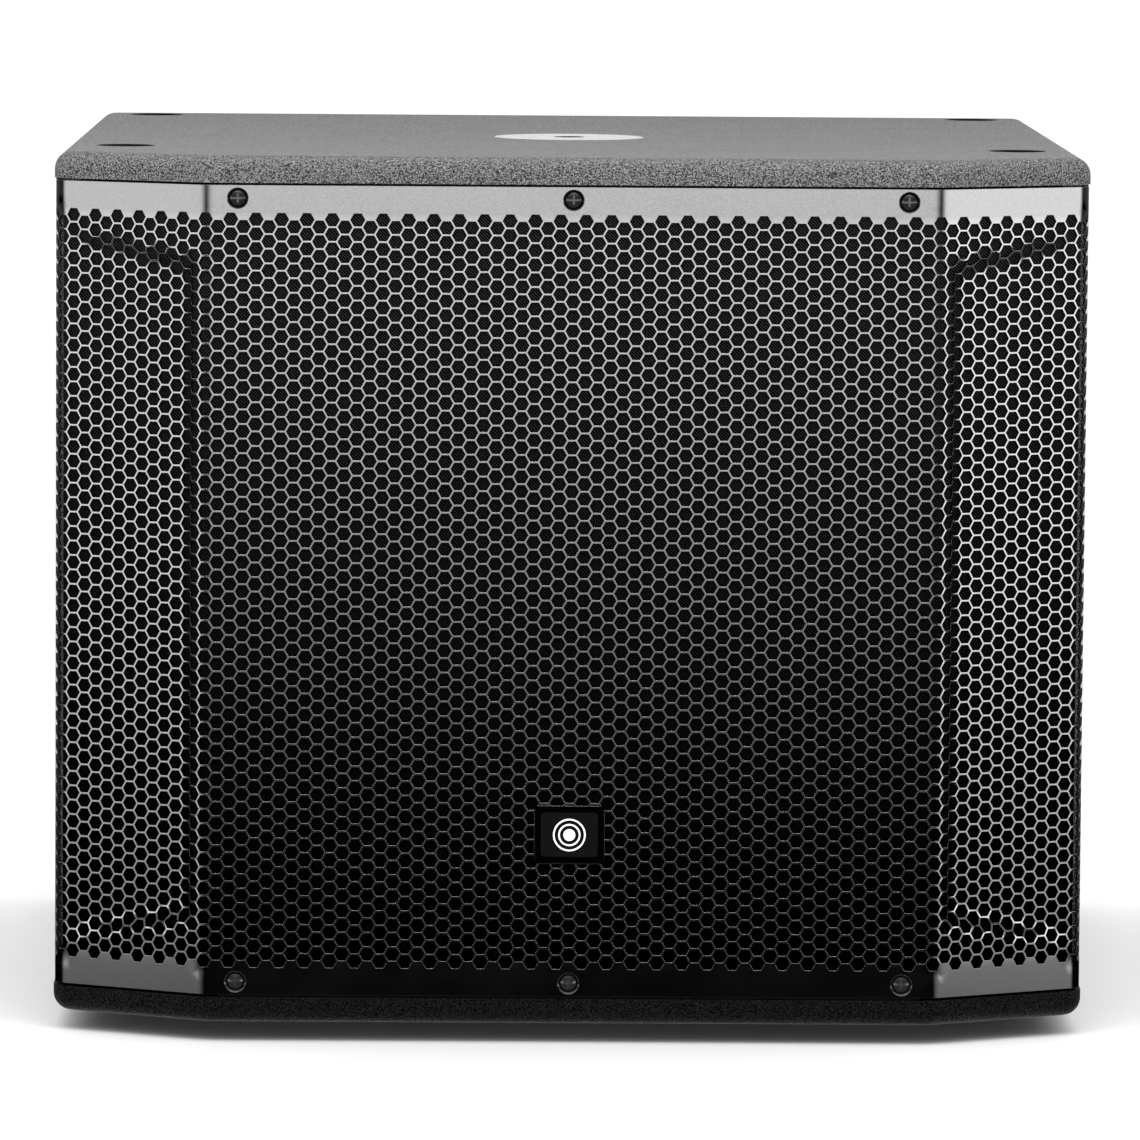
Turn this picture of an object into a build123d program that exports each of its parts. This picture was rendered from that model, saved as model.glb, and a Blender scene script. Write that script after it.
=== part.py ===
"""Powered subwoofer cabinet with one 18 inch driver, side slot port and folded steel grille.

Millimetres. Z is up, the front faces -Y, and the origin is under the middle of the feet.
"""

from build123d import *
from math import cos, pi, radians, sin, sqrt, tan
import os

os.makedirs("parts", exist_ok=True)

# ---------------------------------------------------------------- cabinet
width = 699
height = 597
depth = 742
panel_t = 18
foot_h = 13
edge_r = 12
corner_r = 15
facet_half = 246  # half width of the flat middle of the front
facet_back = 55  # how far the side facets run back
fold_r = 12
bend_r = 15

half_w = width / 2
front_y = -depth / 2
back_y = depth / 2
inner_x = half_w - panel_t
floor_z = foot_h + panel_t
ceiling_z = height - panel_t
mid_z = (floor_z + ceiling_z) / 2
facet_angle = radians(28)
bend_y = front_y + facet_back

baffle_y = -300
baffle_t = 24
baffle_back = baffle_y + baffle_t
rear_inset = 22
rear_y = back_y - rear_inset
rear_inner = rear_y - panel_t

# ---------------------------------------------------------------- grille
grille_inset = 1
grille_t = 1.5
grille_gap = 1.6
return_end = -290  # rear end of the flanges folded back along the sides
wing_depth = 7.5
wing_in = (254, 260)  # top and foot of the step at the inner end of a wing
wing_out = 338
wing_half_h = 223
dimple_r = 7
dimple_depth = 2.5
grille_screw_x = 224.3
grille_screw_z = 263.7  # above and below the middle height
badge_z = 142
badge_size = (38.6, 30.2)
badge_t = 2
ring_radii = (4, 7.5, 11)
ring_w = 1.1
ring_rise = 0.4
dish_size = (46, 38)
foam_t = 10
foam_gap = 0.4
rebate = 3.2  # depth of the step in the side boards that takes the grille's flanges
rail_h = 18
rail_back = -343
rail_half = 236

# ---------------------------------------------------------------- driver
driver_x = 54
flange_r = 231
flange_t = 7
gasket_t = 1
rebate_r = 235
cutout_r = 214
bolt_circle = 222.5
bolt_count = 8
bolt_r = 3
bolt_gap = 0.3
nut_barrel_r = 4.5
nut_flange_r = 9.5
coil_r = 50
cone_r = 190
neck_a = -74
rim_a = -9
cone_t = 2
cap_r = 72
cap_rise = 24
plate_r = 105
seat_a = -133
top_plate_t = 12
magnet_t = 25
yoke_t = 14
vent_r = 18
pole_r = 47.6
spoke_w = 13
frame_lip = 5.5
frame_wall = 2
shelf_a = -95
shelf_r = (114, 139)
spider_r = (58, 113)
former_a = -158
winding_a = (-152, -126)
terminal_turn = -45

# ---------------------------------------------------------------- port and bracing
port_x = -205
port_depth = 216
port_margin = 20
port_corner_r = 10
brace_y = 8
window_bar = (60, 50)
window_edge = 45
window_r = 25
lining_t = 22
lining_half = 290
lining_gap = 8

# ---------------------------------------------------------------- handles
handle_y = 35
handle_z = 340
handle_flange = (176, 124)
handle_cup = (150, 98)
handle_flange_r = 9.7
handle_cup_r = 12
handle_depth = 60
handle_wall = 2.5
flange_sink = 3
bar_r = 10
bar_up = 20
screw_sink = 2
pilot_r = 1.8

# ---------------------------------------------------------------- feet, cups and pole plate
foot_x = 305.5
foot_front = -216
foot_rear = 329
foot_r = (17, 19)
foot_hole_r = 8
foot_seat = 9.5
cup_r = 20
cup_depth = 11
cup_wall = 1.5
cup_floor = 2
boss_r = 6
cup_fit = 0.2
cup_seat = 6
pole_y = -28
pole_r_out = 53.4
pole_plate_t = 4
pole_boss_r = 17
pole_bore_r = 8.65
pole_bore_end = 6
pole_lead_in = 2.4
pole_length = 57
nut_r = 30
nut_t = 12

# ---------------------------------------------------------------- amplifier
amp_size = (440, 320)
amp_cut = (404, 284)
amp_gasket_t = 2
amp_plate_t = 3
amp_depth = 88
chassis_half = (200, 140)
sheet_t = 1.5
plate_screw_r = 2.3
plate_in = rear_y + amp_gasket_t
plate_out = plate_in + amp_plate_t
heat_z = 195
heat_size = (380, 64)
fin_h = 12
fin_t = 2.6
fin_count = 20
fin_base = 3
socket_x = (-30, 40)
input_z = 345
thru_z = 288
socket_r = 12
tab_size = (6, 3.8)
tab_slot = (6.8, 4.6)
tab_root = -1.6
tab_rise = 5
tab_z = 11.2
cavity_r = 9.8
shell_flange = (26, 31)
shell_flange_t = 2
shell_depth = 24
jack_r = 3.3
insert_r = 7.4
knob_z = 402
knob_r = 9
knob_h = 12
knob_gap = 0.5
shaft_r = 3
menu_x = -92
menu_r = 13
button_x = -150
button_z = 362
button_size = (14, 7)
mains_x = 160
mains_z = 400
rocker_z = 340
rocker_tilt = 7
light_x = (96, 106, 116)
light_z = 402
light_r = 1.8
display_at = (-150, 402)
display_size = (64, 34)
pin_r = 1.2
board_gap = 10
board_t = 1.6
toroid_r = (14, 48)
toroid_h = 42
lead_r = 2.2


def slab(x, y, z, mode=Mode.ADD):
    """A block between the low and high limits given for each axis."""
    centre = ((x[0] + x[1]) / 2, (y[0] + y[1]) / 2, (z[0] + z[1]) / 2)
    with Locations(centre):
        Box(x[1] - x[0], y[1] - y[0], z[1] - z[0], mode=mode)


def facing_front(y):
    """Plane at depth y whose normal points to the front."""
    return Plane.XZ.offset(-y)


def facing(point, normal, across=(1, 0, 0)):
    """Plane at a point for something mounted along the normal."""
    return Plane(origin=point, x_dir=across, z_dir=normal)


front = (0, -1, 0)
rear = (0, 1, 0)
up = (0, 0, 1)


def plan_points(inset, y_end):
    """Plan of the cabinet front at an inset from the outer faces."""
    side = half_w - inset
    fold = facet_half - inset * tan(facet_angle / 2)
    bend = bend_y + inset * tan((pi / 2 - facet_angle) / 2)
    right = [(fold, front_y + inset), (side, bend), (side, y_end)]
    left = [(-x, y) for x, y in reversed(right)]
    return left + right


def panel(z, rounded_top):
    """Top or bottom panel with its three rounded edges."""
    with BuildPart() as board:
        with BuildSketch(Plane.XY.offset(z)) as outline:
            with BuildLine():
                Polyline(*plan_points(0, back_y), close=True)
            make_face()
            rear_corners = outline.vertices().group_by(Axis.Y)[-1]
            fillet(rear_corners, corner_r)
            folds = outline.vertices().group_by(Axis.Y)[0]
            fillet(folds, fold_r)
            bends = [v for v in outline.vertices() if abs(v.Y - bend_y) < 1]
            fillet(bends, bend_r)
        extrude(amount=panel_t)
        face = board.faces().sort_by(Axis.Z)[-1 if rounded_top else 0]
        fillet(face.outer_wire().edges(), edge_r)
    return board.part


def cross_screw(head_r, head_h, shank_r, shank_l):
    """Domed screw with a cross recess, seated on the XY plane with its head up."""
    slot_w = head_r * 0.26
    slot_l = head_r * 1.15
    dome_h = head_h * 0.65
    dome_r = (head_r**2 + dome_h**2) / (2 * dome_h)
    with BuildPart() as screw:
        with BuildSketch():
            Circle(head_r)
        extrude(amount=head_h)
        with Locations((0, 0, head_h - dome_r)):
            Sphere(dome_r, mode=Mode.INTERSECT)
        with BuildSketch(Plane.XY.offset(head_h)):
            Rectangle(slot_l, slot_w)
            Rectangle(slot_w, slot_l)
        extrude(amount=-head_h * 0.6, mode=Mode.SUBTRACT)
        with BuildSketch():
            Circle(shank_r)
        extrude(amount=-shank_l)
        chamfer(screw.edges().group_by(Axis.Z)[0], shank_r * 0.6)
    return screw.part


def grille_form(inset):
    """Solid behind the grille surface at an inset, with its wings, dimples and badge dish."""
    shift_x = inset * sin(facet_angle)
    shift_y = inset * cos(facet_angle)
    slope = facet_back / (half_w - facet_half)
    wing_top = mid_z + wing_half_h + inset
    wing_bottom = mid_z - wing_half_h - inset

    def on_facet(x, sink=0):
        return (x - shift_x, front_y + (x - facet_half) * slope + shift_y + sink)

    with BuildPart() as form:
        with BuildSketch(Plane.XY.offset(floor_z + grille_gap)) as plan:
            with BuildLine():
                Polyline(*plan_points(inset, return_end), close=True)
            make_face()
            fillet(plan.vertices().group_by(Axis.Y)[0], max(fold_r - inset, 2))
            bends = [v for v in plan.vertices() if bend_y - 9 < v.Y < bend_y + inset + 1]
            fillet(bends, max(bend_r - inset, 2))
        extrude(amount=ceiling_z - floor_z - 2 * grille_gap)
        with BuildSketch(Plane.XY.offset(wing_bottom)) as wing:
            with BuildLine():
                Polyline(
                    on_facet(wing_out),
                    on_facet(wing_in[1], wing_depth),
                    on_facet(wing_in[0]),
                    on_facet(wing_in[0], -wing_depth),
                    on_facet(wing_out, -wing_depth),
                    close=True,
                )
            make_face()
            mirror(about=Plane.YZ)
        extrude(amount=wing_top - wing_bottom, mode=Mode.SUBTRACT)
        dish_y = front_y + inset + dimple_depth
        with BuildSketch(facing_front(dish_y)):
            with Locations((0, mid_z)):
                with GridLocations(grille_screw_x, 2 * grille_screw_z, 3, 2):
                    Circle(dimple_r + inset)
            with Locations((0, badge_z)):
                RectangleRounded(dish_size[0] + 2 * inset, dish_size[1] + 2 * inset, 4)
        extrude(amount=dimple_depth, mode=Mode.SUBTRACT)
    return form.part


# ================================================================ cabinet panels
foot_spots = [(sx * foot_x, y) for sx in (-1, 1) for y in (foot_front, foot_rear)]

top_blank = panel(ceiling_z, True)
with BuildPart() as top_panel:
    add(top_blank)
    with Locations(*[(x, y, height) for x, y in foot_spots]):
        Cylinder(cup_r, cup_depth, align=(Align.CENTER, Align.CENTER, Align.MAX), mode=Mode.SUBTRACT)
        Cylinder(1.6, panel_t - 1, align=(Align.CENTER, Align.CENTER, Align.MAX), mode=Mode.SUBTRACT)
    with Locations((0, pole_y, height)):
        CounterBoreHole(pole_boss_r + 0.1, pole_r_out + 0.1, pole_plate_t, depth=panel_t)

bottom_blank = panel(foot_h, False)
with BuildPart() as bottom_panel:
    add(bottom_blank)
    with Locations(*[(x, y, foot_h) for x, y in foot_spots]):
        Cylinder(2.2, 14, align=(Align.CENTER, Align.CENTER, Align.MIN), mode=Mode.SUBTRACT)


handle_screw_pitch = (
    (handle_flange[0] + handle_cup[0]) / 4,
    (handle_flange[1] + handle_cup[1]) / 2,
)


def side_panel(side):
    """Side board with the rebate for the grille return and the handle opening."""
    face_x = side * half_w
    with BuildPart() as board:
        with BuildSketch(Plane.XY.offset(floor_z)) as plan:
            with BuildLine():
                Polyline(
                    (side * inner_x, baffle_y - rebate),
                    (side * (half_w - rebate), baffle_y - rebate),
                    (side * (half_w - rebate), return_end + grille_inset),
                    (face_x, return_end + grille_inset),
                    (face_x, back_y),
                    (side * inner_x, back_y),
                    close=True,
                )
            make_face()
            corner = plan.vertices().group_by(Axis.Y)[-1].sort_by(Axis.X)[-1 if side > 0 else 0]
            fillet(corner, corner_r)
        extrude(amount=ceiling_z - floor_z)
        with BuildSketch(Plane.YZ.offset(face_x)):
            with Locations((handle_y, handle_z)):
                RectangleRounded(handle_flange[0] + 0.6, handle_flange[1] + 0.6, handle_flange_r + 0.3)
        extrude(amount=-side * flange_sink, mode=Mode.SUBTRACT)
        with BuildSketch(Plane.YZ.offset(face_x)):
            with Locations((handle_y, handle_z)):
                RectangleRounded(handle_cup[0] + 1, handle_cup[1] + 1, handle_cup_r)
        extrude(amount=-side * panel_t, mode=Mode.SUBTRACT)
        with BuildSketch(Plane.YZ.offset(face_x)):
            with Locations((handle_y, handle_z)):
                with GridLocations(*handle_screw_pitch, 3, 2):
                    Circle(pilot_r)
        extrude(amount=-side * (panel_t - 0.8), mode=Mode.SUBTRACT)
    return board.part


right_board = side_panel(1)
with BuildPart() as right_side_panel:
    add(right_board)
left_board = side_panel(-1)
with BuildPart() as left_side_panel:
    add(left_board)

amp_screw_spots = [
    (x, mid_z + sz * (amp_size[1] / 2 - 8))
    for x in (-210, -140, -70, 0, 70, 140, 210)
    for sz in (-1, 1)
]
with BuildPart() as rear_panel:
    slab((-inner_x, inner_x), (rear_inner, rear_y), (floor_z, ceiling_z))
    with BuildSketch(facing_front(rear_y)):
        with Locations((0, mid_z)):
            RectangleRounded(*amp_cut, 4)
        with Locations(*amp_screw_spots):
            Circle(pilot_r)
    extrude(amount=panel_t, mode=Mode.SUBTRACT)

port_inner_h = (ceiling_z - floor_z - 2 * port_margin - 2 * panel_t) / 3
port_pitch = port_inner_h + panel_t
port_mouth = (port_x - -inner_x - 14, port_inner_h)
with BuildPart() as front_baffle:
    slab((-inner_x, inner_x), (baffle_y, baffle_back), (floor_z, ceiling_z))
    with Locations(facing((driver_x, baffle_y, mid_z), front)):
        CounterBoreHole(cutout_r, rebate_r, flange_t + gasket_t, depth=baffle_t)
        with PolarLocations(bolt_circle, bolt_count):
            Cylinder(bolt_r + bolt_gap, 2 * baffle_t, mode=Mode.SUBTRACT)
    with Locations(facing((driver_x, baffle_back, mid_z), rear)):
        with PolarLocations(bolt_circle, bolt_count):
            Cylinder(nut_barrel_r + 0.2, baffle_t, mode=Mode.SUBTRACT)
    with BuildSketch(facing_front(baffle_y)):
        with Locations((port_x - port_mouth[0] / 2, mid_z)):
            with GridLocations(1, port_pitch, 1, 3):
                RectangleRounded(*port_mouth, port_corner_r)
    extrude(amount=-baffle_t, mode=Mode.SUBTRACT)

port_end = baffle_back + port_depth
with BuildPart() as port_wall:
    slab((port_x, port_x + panel_t), (baffle_back, port_end), (floor_z, ceiling_z))
    fillet(port_wall.faces().sort_by(Axis.Y)[-1].edges().filter_by(Axis.Z), 7)

with BuildPart() as port_braces:
    for sz in (-1, 1):
        z = mid_z + sz * port_pitch / 2
        slab((-inner_x, port_x), (baffle_back, port_end), (z - panel_t / 2, z + panel_t / 2))

with BuildPart() as window_brace:
    slab((-inner_x, inner_x), (brace_y, brace_y + panel_t), (floor_z, ceiling_z))
    with BuildSketch(facing_front(brace_y)):
        pane_w = inner_x - window_edge - window_bar[0] / 2
        pane_h = (ceiling_z - floor_z) / 2 - window_edge - window_bar[1] / 2
        with Locations((0, mid_z)):
            with GridLocations(pane_w + window_bar[0], pane_h + window_bar[1], 2, 2):
                RectangleRounded(pane_w, pane_h, window_r)
        with Locations((-inner_x, handle_z), (inner_x, handle_z)):
            RectangleRounded(2 * window_edge + 8, handle_flange[1] + 6, 3)
    extrude(amount=-panel_t, mode=Mode.SUBTRACT)

lining_end = rear_inner - lining_gap
lining_z = (floor_z + lining_t + lining_gap, ceiling_z - lining_t - lining_gap)
with BuildPart() as acoustic_lining:
    for z in (floor_z, ceiling_z - lining_t):
        slab((-lining_half, lining_half), (brace_y + panel_t + lining_gap, lining_end), (z, z + lining_t))
    for x in (-inner_x, inner_x - lining_t):
        slab((x, x + lining_t), (handle_y + handle_flange[0] / 2, lining_end), lining_z)

# ================================================================ grille
grille_outer = grille_form(grille_inset)
grille_inner = grille_form(grille_inset + grille_t)
foam_outer = grille_form(grille_inset + grille_t + foam_gap)
foam_inner = grille_form(grille_inset + grille_t + foam_gap + foam_t)
grille_screw_spots = [
    (x, mid_z + sz * grille_screw_z) for x in (-grille_screw_x, 0, grille_screw_x) for sz in (-1, 1)
]
dimple_floor = front_y + grille_inset + dimple_depth

with BuildPart() as front_grille:
    add(grille_outer)
    add(grille_inner, mode=Mode.SUBTRACT)
    with BuildSketch(facing_front(front_y)):
        with Locations(*grille_screw_spots):
            Circle(2.3)
    extrude(amount=-20, mode=Mode.SUBTRACT)

rail_front = dimple_floor + grille_t
with BuildPart() as grille_rails:
    for z in (floor_z, ceiling_z - rail_h):
        slab((-rail_half, rail_half), (rail_front, rail_back), (z, z + rail_h))
    with BuildSketch(facing_front(rail_front)):
        with Locations(*grille_screw_spots):
            Circle(1.9)
    extrude(amount=-16, mode=Mode.SUBTRACT)

with BuildPart() as grille_foam:
    add(foam_outer)
    add(foam_inner, mode=Mode.SUBTRACT)
    foam_z = (floor_z + rail_h + 2, ceiling_z - rail_h - 2)
    slab((-width, width), (front_y - 5, baffle_y - 12), foam_z, mode=Mode.INTERSECT)

grille_screw = cross_screw(5.2, 2.3, 1.85, 15)
with BuildPart() as grille_screws:
    with Locations(*[facing((x, dimple_floor, z), front) for x, z in grille_screw_spots]):
        add(grille_screw)

with BuildPart() as badge:
    with BuildSketch(facing_front(dimple_floor)):
        with Locations((0, badge_z)):
            RectangleRounded(*badge_size, 3)
    extrude(amount=badge_t)
    chamfer(badge.faces().sort_by(Axis.Y)[0].edges(), 0.5)
    with BuildSketch(facing_front(dimple_floor - badge_t)):
        with Locations((0, badge_z)):
            Circle(ring_radii[2])
            Circle(ring_radii[2] - ring_w, mode=Mode.SUBTRACT)
            Circle(ring_radii[1])
            Circle(ring_radii[1] - ring_w, mode=Mode.SUBTRACT)
            Circle(ring_radii[0])
    extrude(amount=ring_rise)

# ================================================================ feet, cups, pole plate
with BuildPart() as foot_body:
    with BuildSketch():
        Circle(foot_r[1])
    extrude(amount=foot_h)
    chamfer(foot_body.edges().group_by(Axis.Z)[0], foot_r[1] - foot_r[0])
    Cylinder(foot_hole_r, 2 * foot_seat, mode=Mode.SUBTRACT)
    Cylinder(2.4, 3 * foot_h, mode=Mode.SUBTRACT)
with BuildPart() as feet:
    with Locations(*[(x, y, 0) for x, y in foot_spots]):
        add(foot_body.part)

foot_screw = cross_screw(5.5, 2.5, 2.1, 16)
with BuildPart() as foot_screws:
    with Locations(*[facing((x, y, foot_seat), (0, 0, -1)) for x, y in foot_spots]):
        add(foot_screw)

cup_base = height - cup_depth
with BuildPart() as cup_body:
    with BuildSketch(Plane.XZ):
        with BuildLine():
            Polyline(
                (pilot_r, 0),
                (cup_r - cup_fit, 0),
                (cup_r - cup_fit, cup_depth),
                (cup_r - cup_wall - cup_fit, cup_depth),
                (cup_r - cup_wall - 4 * cup_fit, cup_floor),
                (boss_r, cup_floor),
                (boss_r - 0.5, cup_seat),
                (pilot_r, cup_seat),
                close=True,
            )
        make_face()
    revolve(axis=Axis.Z)
with BuildPart() as stacking_cups:
    with Locations(*[(x, y, cup_base) for x, y in foot_spots]):
        add(cup_body.part)

cup_screw = cross_screw(4.2, 2.3, 1.5, 9)
with BuildPart() as cup_screws:
    with Locations(*[(x, y, cup_base + cup_seat) for x, y in foot_spots]):
        add(cup_screw)

with BuildPart() as pole_plate:
    with BuildSketch(Plane.XY.offset(height - pole_plate_t)):
        with Locations((0, pole_y)):
            Circle(pole_r_out)
    extrude(amount=pole_plate_t)
    chamfer(pole_plate.edges().group_by(Axis.Z)[-1], 0.8)
    with BuildSketch(Plane.XY.offset(height - pole_plate_t)):
        with Locations((0, pole_y)):
            Circle(pole_boss_r)
    extrude(amount=pole_plate_t - pole_length)
    with Locations((0, pole_y, height)):
        bore_depth = pole_length - pole_bore_end
        CounterSinkHole(pole_bore_r, pole_bore_r + pole_lead_in, bore_depth, counter_sink_angle=90)

with BuildPart() as pole_lock_nut:
    with BuildSketch(Plane.XY.offset(ceiling_z)):
        with Locations((0, pole_y)):
            RegularPolygon(nut_r, 6)
            Circle(pole_boss_r + 0.1, mode=Mode.SUBTRACT)
    extrude(amount=-nut_t)

# ================================================================ handles
def side_handle(side):
    """Recessed cup with its flange and a bar across it, in one casting."""
    face_x = side * half_w
    cup_outer_x = face_x - side * handle_depth
    with BuildPart() as handle:
        with BuildSketch(Plane.YZ.offset(face_x - side * flange_sink)):
            with Locations((handle_y, handle_z)):
                RectangleRounded(*handle_flange, handle_flange_r)
        extrude(amount=side * flange_sink)
        with BuildSketch(Plane.YZ.offset(cup_outer_x)):
            with Locations((handle_y, handle_z)):
                RectangleRounded(*handle_cup, handle_cup_r)
        extrude(amount=side * (handle_depth - flange_sink))
        with BuildSketch(Plane.YZ.offset(face_x)):
            with Locations((handle_y, handle_z)):
                RectangleRounded(*[side_l - 2 * handle_wall for side_l in handle_cup], 10)
        extrude(amount=-side * (handle_depth - handle_wall), mode=Mode.SUBTRACT)
        with BuildSketch(Plane.XZ.offset(-handle_y)):
            with Locations((face_x - side * (bar_r + 1.5), handle_z + bar_up)):
                RectangleRounded(2 * bar_r, 2 * bar_r + 4, bar_r - 1)
        extrude(amount=handle_cup[0] / 2 - 1, both=True)
        with BuildSketch(Plane.YZ.offset(face_x)):
            with Locations((handle_y, handle_z)):
                with GridLocations(*handle_screw_pitch, 3, 2):
                    Circle(2.4)
        extrude(amount=-side * (flange_sink + 0.1), mode=Mode.SUBTRACT)
        with BuildSketch(Plane.YZ.offset(face_x)):
            with Locations((handle_y, handle_z)):
                with GridLocations(*handle_screw_pitch, 3, 2):
                    Circle(4.7)
        extrude(amount=-side * screw_sink, mode=Mode.SUBTRACT)
    return handle.part


right_casting = side_handle(1)
with BuildPart() as right_handle:
    add(right_casting)
left_casting = side_handle(-1)
with BuildPart() as left_handle:
    add(left_casting)

handle_screw = cross_screw(4.4, 2.0, 1.75, 15)
handle_screw_spots = [
    facing(
        (
            side * (half_w - screw_sink),
            handle_y + i * handle_screw_pitch[0],
            handle_z + j * handle_screw_pitch[1] / 2,
        ),
        (side, 0, 0),
        (0, 1, 0),
    )
    for side in (-1, 1)
    for i in (-1, 0, 1)
    for j in (-1, 1)
]
with BuildPart() as handle_screws:
    with Locations(*handle_screw_spots):
        add(handle_screw)

# ================================================================ driver
driver_axis = Axis((driver_x, baffle_y, mid_z), front)
driver_face = facing((driver_x, baffle_y, mid_z), front)


def driver_section(turn=0):
    """Half section of the driver: radius across, distance ahead of the flange face upward."""
    c = cos(radians(turn))
    s = sin(radians(turn))
    return Plane(origin=(driver_x, baffle_y, mid_z), x_dir=(c, 0, s), z_dir=(s, 0, -c))


def ring(r_in, r_out, a_low, a_high, mode=Mode.ADD):
    """Flat ring round the driver axis between two axial positions."""
    with BuildSketch(driver_face.offset(a_low)) as profile:
        Circle(r_out)
        if r_in > 0:
            Circle(r_in, mode=Mode.SUBTRACT)
    extrude(profile.sketch, amount=a_high - a_low, mode=mode)


def rims(disc):
    """Circular edges of a turned piece, the largest last."""
    circles = disc.edges().filter_by(GeomType.CIRCLE)
    return circles.sort_by(SortBy.RADIUS)


def wave_skin(r_in, r_out, a_in, a_out, waves, amplitude, skin_t, lap):
    """Half section of a corrugated skin between two flat laps."""
    steps = 8 * waves
    line = [(r_in - lap, a_in)]
    for i in range(steps + 1):
        s = i / steps
        wave = amplitude * sin(2 * pi * waves * s)
        line.append((r_in + (r_out - r_in) * s, a_in + (a_out - a_in) * s + wave))
    line.append((r_out + lap, a_out))
    back = [(r, a + skin_t) for r, a in reversed(line)]
    with BuildLine() as edge:
        Polyline(*line, *back, close=True)
    make_face(edge.edges())


def cone_front(r):
    """Axial position of the front of the cone at a radius."""
    s = (r - coil_r) / (cone_r - coil_r)
    return neck_a + cone_t + (rim_a - neck_a) * s


frame_in = cutout_r - frame_lip
with BuildPart() as driver_frame:
    ring(frame_in, flange_r, -flange_t, 0)
    ring(frame_in, cutout_r - frame_wall, -26, -flange_t)
    ring(60, 112, seat_a, seat_a + 6)
    ring(*shelf_r, shelf_a - 4, shelf_a)
    for i in range(bolt_count):
        with BuildSketch(driver_section(360 / bolt_count * (i + 0.5))):
            with BuildLine():
                Polyline(
                    (frame_in, -10),
                    (cutout_r - frame_wall, -26),
                    (150, -100),
                    (112, seat_a),
                    (100, seat_a),
                    (100, seat_a + 6),
                    (129, -96),
                    (200, -26),
                    (204, -10),
                    close=True,
                )
            make_face()
        extrude(amount=spoke_w / 2, both=True)
    with Locations(driver_face):
        with PolarLocations(bolt_circle, bolt_count):
            Cylinder(bolt_r + bolt_gap, 60, mode=Mode.SUBTRACT)

with BuildPart() as driver_gasket:
    ring(cutout_r + 2, flange_r - 1, -flange_t - gasket_t, -flange_t)
    with Locations(driver_face):
        with PolarLocations(bolt_circle, bolt_count):
            Cylinder(bolt_r + bolt_gap, 60, mode=Mode.SUBTRACT)

with BuildPart() as top_plate:
    ring(coil_r + 2.4, plate_r, seat_a - top_plate_t, seat_a)
    chamfer(rims(top_plate)[-1], 1.5)

with BuildPart() as magnet:
    ring(58, plate_r + 4, seat_a - top_plate_t - magnet_t, seat_a - top_plate_t)
    fillet(rims(magnet)[-2:], 2)

yoke_a = seat_a - top_plate_t - magnet_t
with BuildPart() as back_plate:
    ring(0, plate_r, yoke_a - yoke_t, yoke_a)
    ring(0, pole_r, yoke_a, seat_a + 2)
    ring(0, vent_r, yoke_a - yoke_t, seat_a + 2, mode=Mode.SUBTRACT)
    chamfer(rims(back_plate)[-2:].sort_by(Axis.Y)[-1], 4)

with BuildPart() as voice_coil_former:
    ring(coil_r - 0.8, coil_r - 0.2, former_a, neck_a + cone_t)

with BuildPart() as voice_coil_winding:
    ring(coil_r - 0.2, coil_r + 1.1, *winding_a)

with BuildPart() as cone:
    with BuildSketch(driver_section()):
        with BuildLine():
            Polyline(
                (coil_r - 0.2, neck_a),
                (cone_r, rim_a),
                (cone_r + 6, rim_a),
                (cone_r + 6, rim_a + cone_t),
                (cone_r, rim_a + cone_t),
                (coil_r - 0.2, neck_a + cone_t),
                close=True,
            )
        make_face()
    revolve(axis=driver_axis)

cap_a = cone_front(cap_r) + 1.3
with BuildPart() as dust_cap:
    with BuildSketch(driver_section()):
        with BuildLine():
            sphere_r = (cap_r**2 + cap_rise**2) / (2 * cap_rise)
            mid_drop = sphere_r - sqrt(sphere_r**2 - (cap_r / 2) ** 2)
            top = cap_a + cap_rise
            ThreePointArc((cap_r, cap_a), (cap_r / 2, top - mid_drop), (0, top))
            Line((0, top), (0, top - 1.2))
            ThreePointArc((0, top - 1.2), (cap_r / 2, top - mid_drop - 1.2), (cap_r, cap_a - 1.2))
            Line((cap_r, cap_a - 1.2), (cap_r, cap_a))
        make_face()
    revolve(axis=driver_axis)

with BuildPart() as surround:
    with BuildSketch(driver_section()):
        wave_skin(cone_r + 6, cutout_r - 6, rim_a + cone_t, 0, 2, 3.2, 1.2, 5)
    revolve(axis=driver_axis)

with BuildPart() as spider:
    with BuildSketch(driver_section()):
        wave_skin(*spider_r, shelf_a, shelf_a, 5, 2.6, 0.8, 7)
    revolve(axis=driver_axis)

with BuildPart() as driver_terminals:
    with BuildSketch(driver_section(terminal_turn)):
        with Locations((123, -116)):
            Rectangle(16, 26)
    extrude(amount=20, both=True)
    with BuildSketch(driver_section(terminal_turn)):
        with Locations((122, -116)):
            Rectangle(34, 60)
    extrude(amount=spoke_w, both=True, mode=Mode.INTERSECT)

with BuildPart() as bolt_body:
    with BuildSketch():
        Circle(5)
    extrude(amount=6)
    with BuildSketch(Plane.XY.offset(6)):
        RegularPolygon(2.6, 6)
    extrude(amount=-3.5, mode=Mode.SUBTRACT)
    with BuildSketch():
        Circle(6)
    extrude(amount=1.2)
    with BuildSketch():
        Circle(bolt_r)
    extrude(amount=-21)
with BuildPart() as driver_bolts:
    with Locations(driver_face):
        with PolarLocations(bolt_circle, bolt_count):
            add(bolt_body.part)

with BuildPart() as t_nut_body:
    with BuildSketch():
        Circle(nut_flange_r)
        Circle(bolt_r + 0.1, mode=Mode.SUBTRACT)
    extrude(amount=1.5)
    with BuildSketch():
        Circle(nut_barrel_r)
        Circle(bolt_r + 0.1, mode=Mode.SUBTRACT)
    extrude(amount=-11)
with BuildPart() as t_nuts:
    with Locations(facing((driver_x, baffle_back, mid_z), rear)):
        with PolarLocations(bolt_circle, bolt_count):
            add(t_nut_body.part)

# ================================================================ amplifier
amp_face = facing_front(plate_out)

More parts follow.
